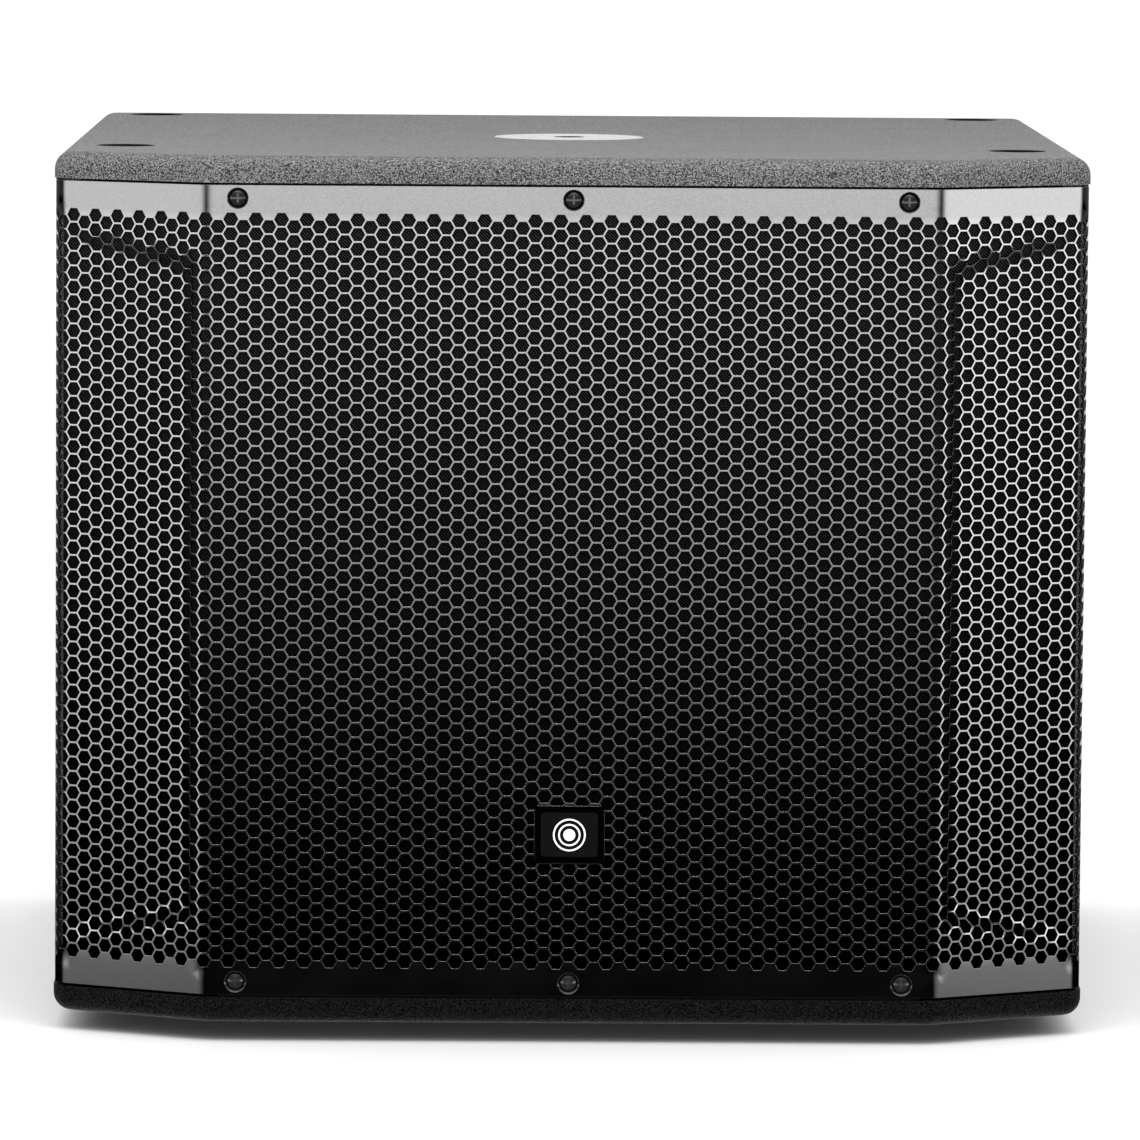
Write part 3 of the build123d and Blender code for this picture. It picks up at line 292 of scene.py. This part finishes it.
def plywood():
    """Birch plywood with long soft grain."""
    made, tree, bsdf = shader("plywood", (0.5, 0.36, 0.22), 0.6)
    grain_mm = 3.0
    stretch = 0.06  # of the texture along Z, so that the grain runs that way
    drawn = node(tree, "Mapping", {"Vector": object_coords(tree), "Scale": (1, 1, stretch)})
    grain = noise(tree, grain_mm, 8.0, 0.7, drawn.outputs[0])
    wood = tint(tree, spread(tree, grain, 0, 1), (0.42, 0.29, 0.17), (0.62, 0.47, 0.31))
    tree.links.new(wood, bsdf.inputs["Base Color"])
    tree.links.new(spread(tree, grain, 0.68, 0.52), bsdf.inputs["Roughness"])
    bump(tree, bsdf, grain, 0.15)
    return made


def turned_steel():
    """Bright plate turned on a lathe, with fine rings about its bore, whose mouth is painted dark as
    painted shade.
    """
    ring_mm = 0.35
    smudge_mm = 14
    mouth_r = 11.1
    made, tree, bsdf = shader("turned_steel", (0.9, 0.9, 0.9), 0.24, 1.0)
    low, high = span("pole_plate")
    x, y = [-(a + b) / 2 * MM for a, b in zip(low[:2], high[:2])]
    centred = node(tree, "Mapping", {"Vector": object_coords(tree), "Location": (x, y, 0)})
    flat = node(tree, "Mapping", {"Vector": centred.outputs[0], "Scale": (1, 1, 0)})
    radius = node(tree, "VectorMath", {0: flat.outputs[0]}, operation="LENGTH").outputs["Value"]
    rings = noise(tree, ring_mm, 2.0, 0.5, node(tree, "CombineXYZ", {"X": radius}).outputs[0])
    tree.links.new(spread(tree, rings, 0.2, 0.34), bsdf.inputs["Roughness"])
    smudge = noise(tree, smudge_mm, 4.0)
    plate = tint(tree, spread(tree, smudge, 0, 1), grey(0.86), grey(0.94))
    # The bore's mouth is painted near black: painted shade inside the hole.
    painted_bore_shade = spread(tree, radius, 1, 0, mouth_r * MM, (mouth_r + 0.3) * MM)
    tree.links.new(tint(tree, painted_bore_shade, plate, grey(0.02)), bsdf.inputs["Base Color"])
    bump(tree, bsdf, rings, 0.02)
    return made


def badge_finish():
    """Dark satin plate whose raised rings are light."""
    made, tree, bsdf = shader("badge_finish", grey(0.005), 0.6, Specular_IOR_Level=0.0)
    depth = node(tree, "SeparateXYZ", {"Vector": object_coords(tree)}).outputs["Y"]
    ring_depth = 0.3  # the badge's foremost part, which is its rings
    raised = total(tree, depth, (badge_low[1] + ring_depth) * MM, "LESS_THAN")
    speck = noise(tree, 0.5, 3.0)
    plate = tint(tree, spread(tree, speck, 0, 1), grey(0.0035), grey(0.0065))
    tree.links.new(tint(tree, raised, plate, (0.9, 0.9, 0.9)), bsdf.inputs["Base Color"])
    bump(tree, bsdf, speck, 0.03)
    return made


def woven(name, colour, pitch_mm):
    """Treated cloth: two crossed ribs round the driver."""
    made, tree, bsdf = shader(name, colour, 0.7, Sheen_Weight=0.2)
    where = object_coords(tree)
    height = total(tree, *[waves(tree, where, pitch_mm, bands_direction=axis) for axis in ("X", "Z")])
    dark = [c * 0.6 for c in colour]
    light = [min(c * 1.4, 1) for c in colour]
    tree.links.new(tint(tree, spread(tree, height, 0, 1, 0.4, 1.6), dark, light), bsdf.inputs["Base Color"])
    bump(tree, bsdf, height, 0.15)
    return made


# grained() is given colour, roughness, the grain's size and depth in millimetres, and in some rows how
# far colour and roughness vary and how metallic the surface is
paint = textured_paint()
powder = powder_coat()
black_plastic = grained("moulded_plastic", (0.01, 0.01, 0.01), 0.45, 0.5, 0.04)
black_steel = grained(
    "black_oxide", (0.004, 0.004, 0.0041), 0.2, 0.6, 0.01, 0.3, 0.05, Specular_IOR_Level=0.3
)
plated_steel = grained("plated_steel", (0.56, 0.56, 0.57), 0.32, 0.8, 0.01, 0.15, 0.08, 1.0)
cast_coating = grained("cast_coating", (0.024, 0.024, 0.025), 0.5, 0.8, 0.1)
rubber = grained("moulded_rubber", (0.018, 0.018, 0.018), 0.75, 0.7, 0.06)
felt = grained("wadding", (0.3, 0.3, 0.31), 0.95, 2.5, 1.6, 0.3, 0.03, Sheen_Weight=0.4)
primed_wood = grained("primed_wood", (0.004, 0.004, 0.004), 0.8, 1.5, 0.1, Specular_IOR_Level=0.1)
cup_plastic = grained("cup_plastic", (0.003, 0.003, 0.003), 0.7, 0.5, 0.04, Specular_IOR_Level=0.1)
shell_metal = grained("shell_metal", (0.11, 0.11, 0.115), 0.35, 0.5, 0.02, 0.2, 0.06, 0.9)
display_glass = grained(
    "display_glass", (0.006, 0.006, 0.008), 0.08, 1.5, 0.004, 0.2, 0.02, Coat_Weight=0.5
)
motor_steel = grained("motor_steel", (0.06, 0.06, 0.065), 0.35, 0.8, 0.02, 0.3, 0.1, 0.9)
winding = grained("enamelled_wire", (0.55, 0.22, 0.07), 0.3, 0.4, 0.05, 0.2, 0.05, 0.9)
finishes = {
    paint: ["top_panel", "bottom_panel", "left_side_panel", "right_side_panel", "rear_panel"],
    plywood(): ["port_wall", "port_braces", "window_brace"],
    primed_wood: ["front_baffle", "grille_rails"],
    felt: ["acoustic_lining"],
    black_steel: [
        "grille_screws",
        "handle_screws",
        "cup_screws",
        "foot_screws",
        "amp_screws",
        "driver_bolts",
    ],
    plated_steel: ["t_nuts", "pole_lock_nut", "amp_chassis", "latch_tab_a", "latch_tab_b"],
    turned_steel(): ["pole_plate"],
    badge_finish(): ["badge"],
    rubber: ["feet", "driver_gasket", "amp_gasket"],
    cast_coating: ["left_handle", "right_handle", "driver_frame"],
    cup_plastic: ["stacking_cups"],
    black_plastic: [
        "gain_knob_a",
        "gain_knob_b",
        "menu_knob",
        "control_pots",
        "back_button",
        "rocker_housing",
        "power_rocker",
        "mains_inlet",
        "driver_terminals",
    ],
    motor_steel: ["top_plate", "back_plate"],
    grained("ferrite", (0.05, 0.05, 0.053), 0.55, 1.2, 0.08): ["magnet"],
    winding: ["voice_coil_winding"],
    grained("glass_fibre", (0.42, 0.3, 0.13), 0.5, 0.6, 0.04): ["voice_coil_former"],
    grained("doped_paper", (0.028, 0.028, 0.029), 0.62, 1.1, 0.18, 0.3): ["cone", "dust_cap"],
    grained("plate_paint", (0.045, 0.045, 0.046), 0.42, 0.5, 0.03): ["amp_plate"],
    grained("anodised", (0.02, 0.02, 0.021), 0.38, 0.4, 0.02, 0.2, 0.06, 0.6): ["heat_sink"],
    shell_metal: ["input_sockets", "thru_sockets"],
    display_glass: ["display_window"],
    grained("status_lens", (0.08, 0.5, 0.14), 0.25, 0.5, 0.01, 0.1): ["status_lights"],
    grained("circuit_board", (0.02, 0.16, 0.07), 0.4, 1.4, 0.05, 0.3): ["amp_board"],
    grained("wrapped_core", (0.12, 0.1, 0.03), 0.45, 2.0, 0.2, 0.3): ["power_transformer"],
    grained("lead_jacket", (0.3, 0.015, 0.012), 0.45, 1.0, 0.03): ["speaker_leads"],
}
for finish, names in finishes.items():
    for name in names:
        for held in nodes[name].material_slots:
            held.material = finish


def solid(name, points, faces, finish, body, smooth_angle=35):
    """A mesh piece, given in millimetres, riding on a body."""
    mesh = bpy.data.meshes.new(name)
    mesh.from_pydata([[c * MM for c in p] for p in points], [], faces)
    mesh.validate()
    mesh.shade_smooth()
    mesh.set_sharp_from_angle(angle=radians(smooth_angle))
    mesh.materials.append(finish)
    piece = bpy.data.objects.new(name, mesh)
    bpy.context.scene.collection.objects.link(piece)
    if body:
        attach(piece, body)
    return piece


# ---------------------------------------------------------------- grille sheet
# s runs along the sheet from its middle; the fold, the facet, the bend and the return begin at these
fold_cut = fold_r * tan(facet_angle / 2)
bend_cut = bend_r * tan((pi / 2 - facet_angle) / 2)
s_fold = flat_half - fold_cut
s_facet = s_fold + fold_r * facet_angle
s_bend = s_facet + hypot(side - flat_half, facet_back) - fold_cut - bend_cut
s_return = s_bend + bend_r * (pi / 2 - facet_angle)
return_start = front + facet_back + bend_cut
s_end = s_return + return_end - return_start


def station(s):
    """Point and outward normal of the sheet's face in plan, s millimetres from the middle."""
    a = abs(s)
    if a <= s_fold:
        x, y, turn = a, front, 0
    elif a <= s_facet:
        turn = (a - s_fold) / fold_r
        x = s_fold + fold_r * sin(turn)
        y = front + fold_r * (1 - cos(turn))
    elif a <= s_bend:
        turn = facet_angle
        run = fold_cut + a - s_facet
        x = flat_half + run * cos(turn)
        y = front + run * sin(turn)
    elif a <= s_return:
        turn = facet_angle + (a - s_bend) / bend_r
        x = side - bend_r + bend_r * sin(turn)
        y = return_start - bend_r * cos(turn)
    else:
        turn = pi / 2
        x, y = side, return_start + a - s_return
    flip = -1 if s < 0 else 1
    return flip * x, y, flip * sin(turn), -cos(turn)


def facet_s(x):
    """Distance along the sheet of the facet point at x."""
    return s_facet + (x - flat_half - fold_cut * cos(facet_angle)) / cos(facet_angle)


wing_depth = 7.5
wing_step = (facet_s(254.5), facet_s(260))  # the recess drops to its full depth between these
wing_out = facet_s(336)  # and rises slowly to nothing here
wing_half = (223.5, 236)  # half height at the step and at the outer end
wing_slope = 1.5  # of its upper and lower walls
wing_sharpness = 6  # of the creases between its faces


def wing(s, z):
    """Depth of the recess pressed into a side facet."""
    a = abs(s)
    if not wing_step[0] < a < wing_out:
        return 0
    bottom = wing_depth * (wing_out - a) / (wing_out - wing_step[1])
    step = wing_depth * (a - wing_step[0]) / (wing_step[1] - wing_step[0])
    reach = wing_half[0] + (wing_half[1] - wing_half[0]) * (a - wing_step[1]) / (wing_out - wing_step[1])
    wall = wing_slope * (reach - abs(z - mid_z))
    if min(bottom, step, wall) <= 0:
        return 0
    power = wing_sharpness
    return (bottom**-power + step**-power + wall**-power) ** (-1 / power)


def ramp(value, start, end):
    """Smooth 0 to 1 between start and end."""
    t = min(max((value - start) / (end - start), 0), 1)
    return t * t * (3 - 2 * t)


screw_x = 224.3
screw_rise = 263.7
screw_spots = [(x, mid_z + dz) for x in (-screw_x, 0, screw_x) for dz in (-screw_rise, screw_rise)]
dimple = (2.3, 4.9, 7.2)  # radius of the hole, the flat floor and the rim
dimple_slope = (5.7, 6.5)  # radii of the points between the floor and the rim
dish_depth = 2.5  # of the dimples and of the badge's pocket
dish_corner = 4
dish_wall = 1.4  # width of the pocket's sloping wall
rim_margin = 0.7  # plain metal kept round the pocket


def dish_distance(s, z):
    """Distance outside the badge dish's rim, negative within it."""
    dx = abs(s) - dish[0] + dish_corner
    dz = abs(z - dish_z) - dish[1] + dish_corner
    return hypot(max(dx, 0), max(dz, 0)) + min(max(dx, dz), 0) - dish_corner


def dish_outline(inset):
    """Rounded rectangle at a distance inside the badge dish's rim."""
    w, h, r = dish[0] - inset, dish[1] - inset, dish_corner - inset
    steps = 5
    loop = []
    for qx, qz, start in ((1, 1, 0), (-1, 1, 90), (-1, -1, 180), (1, -1, 270)):
        for i in range(steps + 1):
            t = radians(start + 90 * i / steps)
            loop.append((qx * (w - r) + r * cos(t), dish_z + qz * (h - r) + r * sin(t)))
    return loop


def pressed(s, z):
    """Total depth pressed into the flat sheet at a point."""
    depth = wing(s, z)
    for x, spot_z in screw_spots:
        depth += dish_depth * (1 - ramp(hypot(s - x, z - spot_z), dimple[1], dimple[2]))
    return depth + dish_depth * (1 - ramp(dish_distance(s, z), -dish_wall, 0))


def on_sheet(s, z, behind=0):
    """Point of the bent and pressed sheet, at a distance behind its face."""
    x, y, nx, ny = station(s)
    sink = pressed(s, z) + behind
    return x - nx * sink, y - ny * sink, z


pitch = 9.79
web = 1.12  # metal between two holes
cell_r = pitch / sqrt(3)
hole_r = (pitch - web) / sqrt(3)
column_step = 1.5 * cell_r
end_margin = 9  # least distance from the last column's middle to the sheet's end
columns = int((s_end - end_margin) / column_step)
rows_high = 52


def cell_centres():
    """Centre of each hexagon, keyed by column and row in half pitches."""
    found = {}
    for j in range(-columns, columns + 1):
        count = rows_high if j % 2 else rows_high - 1
        for k in range(count):
            half_row = 2 * k - count + 1
            found[j, half_row] = (j * column_step, mid_z + half_row * pitch / 2)
    return found


def cell_at(p):
    """Key of the cell whose centre is nearest to a point."""
    j0 = round(p[0] / column_step)
    best = None
    for j in (j0 - 1, j0, j0 + 1):
        parity = 1 if j % 2 else 0
        h = (p[1] - mid_z) / (pitch / 2)
        half_row = 2 * round((h - parity) / 2) + parity
        gap = hypot(p[0] - j * column_step, p[1] - mid_z - half_row * pitch / 2)
        if best is None or gap < best[0]:
            best = (gap, (j, half_row))
    return best[1]


def hexagon(centre, radius):
    """Outline of a cell or of its hole."""
    turns = [i * pi / 3 for i in range(6)]
    return [(centre[0] + radius * cos(t), centre[1] + radius * sin(t)) for t in turns]


def circle(centre, radius, count=40):
    """Outline of a round hole or of a step in a dimple."""
    turns = [2 * pi * i / count for i in range(count)]
    return [(centre[0] + radius * cos(t), centre[1] + radius * sin(t)) for t in turns]


def off_screws(s, z, radius):
    """Whether a point is further than a radius from every screw."""
    return all(hypot(s - x, z - spot_z) > radius for x, spot_z in screw_spots)


def inside_polygon(p, outline):
    """Whether a point is within a convex outline running anticlockwise."""
    for a, b in zip(outline, outline[1:] + outline[:1]):
        if (b[0] - a[0]) * (p[1] - a[1]) - (b[1] - a[1]) * (p[0] - a[0]) < 0:
            return False
    return True


class Layer:
    """Flat pattern of the sheet: welded points and faces in (s, z)."""

    weld = 50  # grid steps in a millimetre; points in the same or a neighbouring step are one

    def __init__(self):
        self.points = []
        self.index = {}
        self.faces = []

    def point(self, s, z):
        key = (round(s * self.weld), round(z * self.weld))
        for dx in (0, -1, 1):
            for dz in (0, -1, 1):
                near = self.index.get((key[0] + dx, key[1] + dz))
                if near is not None:
                    return near
        self.index[key] = len(self.points)
        self.points.append((s, z))
        return self.index[key]

    def face(self, outline):
        ids = [self.point(*p) for p in outline]
        slim = [a for a, b in zip(ids, ids[1:] + ids[:1]) if a != b]
        if len(slim) > 2:
            self.faces.append(slim)

    def fill(self, loops, extra, keep):
        """Triangulates between closed loops and loose points, keeping the triangles that keep() accepts."""
        flat, edges = [], []
        for loop in loops:
            first = len(flat)
            flat.extend(loop)
            edges.extend((first + i, first + (i + 1) % len(loop)) for i in range(len(loop)))
        flat.extend(extra)
        points, _, faces, *_ = delaunay_2d_cdt([Vector(p) for p in flat], edges, [], 0, 1e-4, False)
        for f in faces:
            outline = [tuple(points[i]) for i in f]
            middle = [sum(p[i] for p in outline) / len(outline) for i in (0, 1)]
            if keep(middle):
                self.face(outline)


def webs(layer, cells):
    """The metal round each hole."""
    for centre in cells:
        outer = hexagon(centre, cell_r)
        inner = hexagon(centre, hole_r)
        for i in range(6):
            n = (i + 1) % 6
            layer.face([outer[i], outer[n], inner[n], inner[i]])


def border_outline(steps, side_steps=60):
    """Outline of the whole flat sheet, anticlockwise, with points along its edges."""
    low, high = grille_low[2], grille_high[2]
    width, height = 2 * s_end, high - low
    outline = [(-s_end + width * i / steps, low) for i in range(steps)]
    outline += [(s_end, low + height * i / side_steps) for i in range(side_steps)]
    outline += [(s_end - width * i / steps, high) for i in range(steps)]
    outline += [(-s_end, high - height * i / side_steps) for i in range(side_steps)]
    return outline


def plain_bands(layer, cells):
    """Bands above, below and beside the holes, with a dimple at each screw."""
    spacing = 3
    insets = (4, 9, 14)  # rows of loose points, from the sheet's edges
    clear = 1  # round the dimples, in which there are none
    outer_rows = rows_high - 5  # in half pitches from the middle; a column's last two cells lie past it
    steps = 2 * ceil(s_end / spacing)
    loops = [border_outline(steps)]
    for key, centre in cells.items():
        if abs(key[1]) > outer_rows or abs(key[0]) == columns:
            loops.append(hexagon(centre, cell_r))
    for spot in screw_spots:
        for radius in (*dimple[:2], *dimple_slope, dimple[2]):
            loops.append(circle(spot, radius))
    rows = [grille_high[2] - inset for inset in insets] + [grille_low[2] + inset for inset in insets]
    places = [-s_end + 2 * s_end * i / steps for i in range(1, steps)]
    extra = [(s, z) for z in rows for s in places if off_screws(s, z, dimple[2] + clear)]
    layer.fill(loops, extra, lambda p: cell_at(p) not in cells and off_screws(*p, dimple[0]))


def badge_pocket(layer, pocket_cells):
    """Plain pocket round the badge, whose rim cuts through the holes beside it."""
    holes = {key: hexagon(centre, hole_r) for key, centre in pocket_cells.items()}
    wall_steps = (0, 0.5, 1.0, dish_wall)  # how far inside the rim the wall's points lie
    loops = list(holes.values())
    for inset in (-rim_margin, *wall_steps):
        loops.append(dish_outline(inset))
    loops.append(outline_edges([hexagon(centre, cell_r) for centre in pocket_cells.values()]))

    def is_metal(p):
        key = cell_at(p)
        return key in holes and (dish_distance(*p) < rim_margin or not inside_polygon(p, holes[key]))

    layer.fill(loops, [], is_metal)


def perforated_layer():
    """The whole flat pattern: lattice, plain bands with dimples, and the badge's plain pocket."""
    layer = Layer()
    cells = cell_centres()
    reach = hole_r + 2 * rim_margin  # cells whose middle is nearer to the rim are made with the pocket
    near_badge = {key: c for key, c in cells.items() if dish_distance(*c) < reach}
    webs(layer, [c for key, c in cells.items() if key not in near_badge])
    plain_bands(layer, cells)
    badge_pocket(layer, near_badge)
    return layer


def outline_edges(polygons):
    """The single outer loop round a patch of touching polygons."""
    weld = 20  # grid steps in a millimetre
    places, follow = {}, {}
    sides = set()
    for outline in polygons:
        keys = [(round(s * weld), round(z * weld)) for s, z in outline]
        places.update(zip(keys, outline))
        sides.update(zip(keys, keys[1:] + keys[:1]))
    for a, b in sides:
        if (b, a) not in sides:
            follow[a] = b
    start = next(iter(follow))
    loop = [start]
    while follow[loop[-1]] != start:
        loop.append(follow[loop[-1]])
    return [places[key] for key in loop]


def thickened(name, layer, thickness, finish, body):
    """Bends the flat pattern into the sheet and gives it its thickness and edge walls."""
    count = len(layer.points)
    face_points = [on_sheet(s, z) for s, z in layer.points]
    back_points = [on_sheet(s, z, thickness) for s, z in layer.points]
    faces = [list(f) for f in layer.faces]
    faces += [[i + count for i in reversed(f)] for f in layer.faces]
    sides = dict.fromkeys(side for f in layer.faces for side in zip(f, f[1:] + f[:1]))
    faces += [[b, a, a + count, b + count] for a, b in sides if (b, a) not in sides]
    return solid(name, face_points + back_points, faces, finish, body)


pattern = perforated_layer()
grille = thickened("perforated_grille", pattern, sheet_t, powder, "cabinet")
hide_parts("front_grille")


# ---------------------------------------------------------------- foam behind the grille
def foam_sheet():
    """Cloth-faced foam that follows the back of the sheet."""
    low, high = span("grille_foam")
    gap = sheet_t + 0.45  # from the grille's face to the foam
    foam_t = 10
    reach = s_bend + 4  # a little way into the outer bends
    wide, tall = 171, 111  # points across and up
    across = [reach * (2 * i / (wide - 1) - 1) for i in range(wide)]
    levels = [low[2] + (high[2] - low[2]) * i / (tall - 1) for i in range(tall)]
    points = [on_sheet(s, z, gap) for s in across for z in levels]
    points += [on_sheet(s, z, gap + foam_t) for s in across for z in levels]
    back = wide * tall  # from a point of the front to the one behind it
    faces = []
    for i in range(wide - 1):
        for k in range(tall - 1):
            a = i * tall + k
            quad = [a, a + tall, a + tall + 1, a + 1]
            faces.append(quad)
            faces.append([back + v for v in reversed(quad)])
    rim = [i * tall for i in range(wide)]
    rim += [back - tall + k for k in range(1, tall)]
    rim += [i * tall + tall - 1 for i in range(wide - 2, -1, -1)]
    rim += list(range(tall - 2, 0, -1))
    faces += [[b, a, a + back, b + back] for a, b in zip(rim, rim[1:] + rim[:1])]
    return solid("grille_backing_foam", points, faces, foam_cloth(), "cabinet", 60)


foam = foam_sheet()
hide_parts("grille_foam")


# ---------------------------------------------------------------- driver suspension
flange_low, flange_high = span("driver_frame")
driver_x = (flange_low[0] + flange_high[0]) / 2
driver_z = (flange_low[2] + flange_high[2]) / 2


def turned(name, outline, finish, node_name, segments=144):
    """Ring turned about the driver's axis from a closed (radius, y) outline."""
    points, faces = [], []
    count = len(outline)
    for i in range(segments):
        t = 2 * pi * i / segments
        points += [(driver_x + r * cos(t), y, driver_z + r * sin(t)) for r, y in outline]
    for i in range(segments):
        a, b = i * count, (i + 1) % segments * count
        for k in range(count):
            n = (k + 1) % count
            faces.append([a + k, a + n, b + n, b + k])
    piece = solid(name, points, faces, finish, None, 60)
    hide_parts(node_name)
    return piece


def blend_round(piece, r_cone, r_frame):
    """Bakes the ring's placement into its mesh; r_cone and r_frame are not used."""
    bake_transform(piece)


def corrugation(r_in, r_out, y_in, y_out, rolls, height, thick, lap):
    """Closed outline of a corrugated ring between two flat laps, forward being -Y."""
    steps = 14 * rolls
    onset = 6  # the rolls grow to their full height over a sixth of the width at each side
    front_edge = [(r_in - lap, y_in)]
    for i in range(steps + 1):
        s = i / steps
        crest = height * sin(2 * pi * rolls * s) * min(1, onset * s, onset * (1 - s))
        front_edge.append((r_in + (r_out - r_in) * s, y_in + (y_out - y_in) * s - crest))
    front_edge.append((r_out + lap, y_out))
    return [(r, y - thick) for r, y in front_edge] + [(r, y) for r, y in reversed(front_edge)]


surround_r = (196, 208)
rim_y = span("cone")[0][1]
frame_y = flange_low[1]
edge = turned(
    "surround_roll",
    corrugation(*surround_r, rim_y, frame_y, rolls=2, height=3.2, thick=1.2, lap=5),
    woven("edge_cloth", (0.05, 0.05, 0.052), 0.9),
    "surround",
)
blend_round(edge, *surround_r)
spider_r = (58, 113)
spider_t = 0.8
spider_low, spider_high = span("spider")
spider_y = (spider_low[1] + spider_high[1]) / 2 + spider_t / 2
ring = turned(
    "spider_ring",
    corrugation(*spider_r, spider_y, spider_y, rolls=5, height=2.6, thick=spider_t, lap=7),
    woven("spider_cloth", (0.42, 0.27, 0.1), 0.9),
    "spider",
)
blend_round(ring, *spider_r)


# ---------------------------------------------------------------- floor and light
def studio_floor():
    """Pale floor that is left out of reflections."""
    mottle_mm = 900
    finish, tree, bsdf = shader("studio_floor", (0.79, 0.79, 0.79), 0.85)
    tone = spread(tree, noise(tree, mottle_mm, 3.0), 0, 1)
    tree.links.new(tint(tree, tone, (0.78, 0.78, 0.78), (0.8, 0.8, 0.8)), bsdf.inputs["Base Color"])
    bsdf.inputs["Specular IOR Level"].default_value = 0
    reach = 40000
    corners = [(-reach, -reach, 0), (reach, -reach, 0), (reach, reach, 0), (-reach, reach, 0)]
    plane = solid("studio_floor", corners, [[0, 1, 2, 3]], finish, None)
    plane.visible_glossy = False


studio_floor()

# brightness of each part of the surroundings, and the heights on the unit sphere where it fades in
wall_light = (0.62, -0.1, 0.02)
ceiling_light = (1.0, 0.35, 0.65)
ground_light = (0.7, -0.19, -0.3)  # stands in for the floor in mirroring surfaces
# brightness; azimuths where it fades in and out; elevations of its lower and upper edge; onset's power
screens = [
    (8.8, (-32, -6, 8, 34), (-7.8, -2.5), (1, 8), 1.5),
    (8.6, (-84, -66, -50, -26), (-9.5, -4.5), (1, 8), 1),
    (11.3, (30, 52, 68, 86), (-9.5, -4.5), (1, 8), 1),
]


def world_light():
    """Soft surroundings with three low bright screens in front, which the grille's faces mirror."""
    world = bpy.data.worlds.new("studio")
    bpy.context.scene.world = world
    world.use_nodes = True
    tree = world.node_tree
    back = tree.nodes["Background"]
    back.inputs["Color"].default_value = (1, 1, 1, 1)
    split = node(tree, "SeparateXYZ", {"Vector": node(tree, "TexCoord").outputs["Generated"]})
    ahead = total(tree, split.outputs["Y"], -1, "MULTIPLY")
    azimuth = total(tree, split.outputs["X"], ahead, "ARCTAN2")
    height = split.outputs["Z"]

    def step(value, start, end):
        inputs = {"Value": value, "From Min": start, "From Max": end}
        return node(tree, "MapRange", inputs, interpolation_type="SMOOTHSTEP").outputs["Result"]

    def screen(brightness, sides, low, high, onset):
        """Bright patch between azimuths and elevations in degrees, with soft edges."""
        left = step(azimuth, *[radians(v) for v in sides[:2]])
        right = step(azimuth, *[radians(v) for v in sides[3:1:-1]])
        rise = step(height, *[sin(radians(v)) for v in low])
        rise = total(tree, rise, onset, "POWER")
        fall = step(height, *[sin(radians(v)) for v in reversed(high)])
        wide = total(tree, left, right, "MULTIPLY")
        tall = total(tree, rise, fall, "MULTIPLY")
        return total(tree, total(tree, wide, tall, "MULTIPLY"), brightness, "MULTIPLY")

    def level(brightness, start, end):
        """Even light that fades in between two heights."""
        return total(tree, step(height, start, end), brightness, "MULTIPLY")

    light = total(tree, total(tree, level(*wall_light), level(*ceiling_light)), level(*ground_light))
    for values in screens:
        light = total(tree, light, screen(*values))
    tree.links.new(light, back.inputs["Strength"])


world_light()


def softbox(name, place, target, size, power):
    """Rectangular area light aimed at a point, in metres and watts."""
    lamp = bpy.data.lights.new(name, "AREA")
    lamp.shape = "RECTANGLE"
    lamp.size, lamp.size_y = size
    lamp.energy = power
    held = bpy.data.objects.new(name, lamp)
    held.location = place
    held.rotation_mode = "QUATERNION"
    held.rotation_quaternion = (Vector(target) - Vector(place)).to_track_quat("-Z", "Y")
    bpy.context.scene.collection.objects.link(held)


softbox("overhead", place=(0, -0.3, 3.2), target=(0, 0, 0.3), size=(3.5, 3.0), power=10)
softbox("front_top", place=(0, -2.1, 3.1), target=(0, -0.35, 0.3), size=(3.2, 0.8), power=48)

bpy.context.scene.view_settings.view_transform = "Standard"

# ---------------------------------------------------------------- camera, in metres and radians
camera_data = bpy.data.cameras.new("camera")
camera = bpy.data.objects.new("camera", camera_data)
bpy.context.scene.collection.objects.link(camera)
bpy.context.scene.camera = camera
camera_data.sensor_width = 36
camera_data.lens = 265.5
camera_data.clip_end = 200
down = 0.0928
yaw = -0.0106
roll = 0.0072
camera.rotation_mode = "QUATERNION"
look = Vector((-sin(yaw) * cos(down), cos(yaw) * cos(down), -sin(down)))
camera.rotation_quaternion = look.to_track_quat("-Z", "Y") @ Matrix.Rotation(roll, 3, "Z").to_quaternion()
camera.location = (-0.0603, -5.9802, 0.8431)
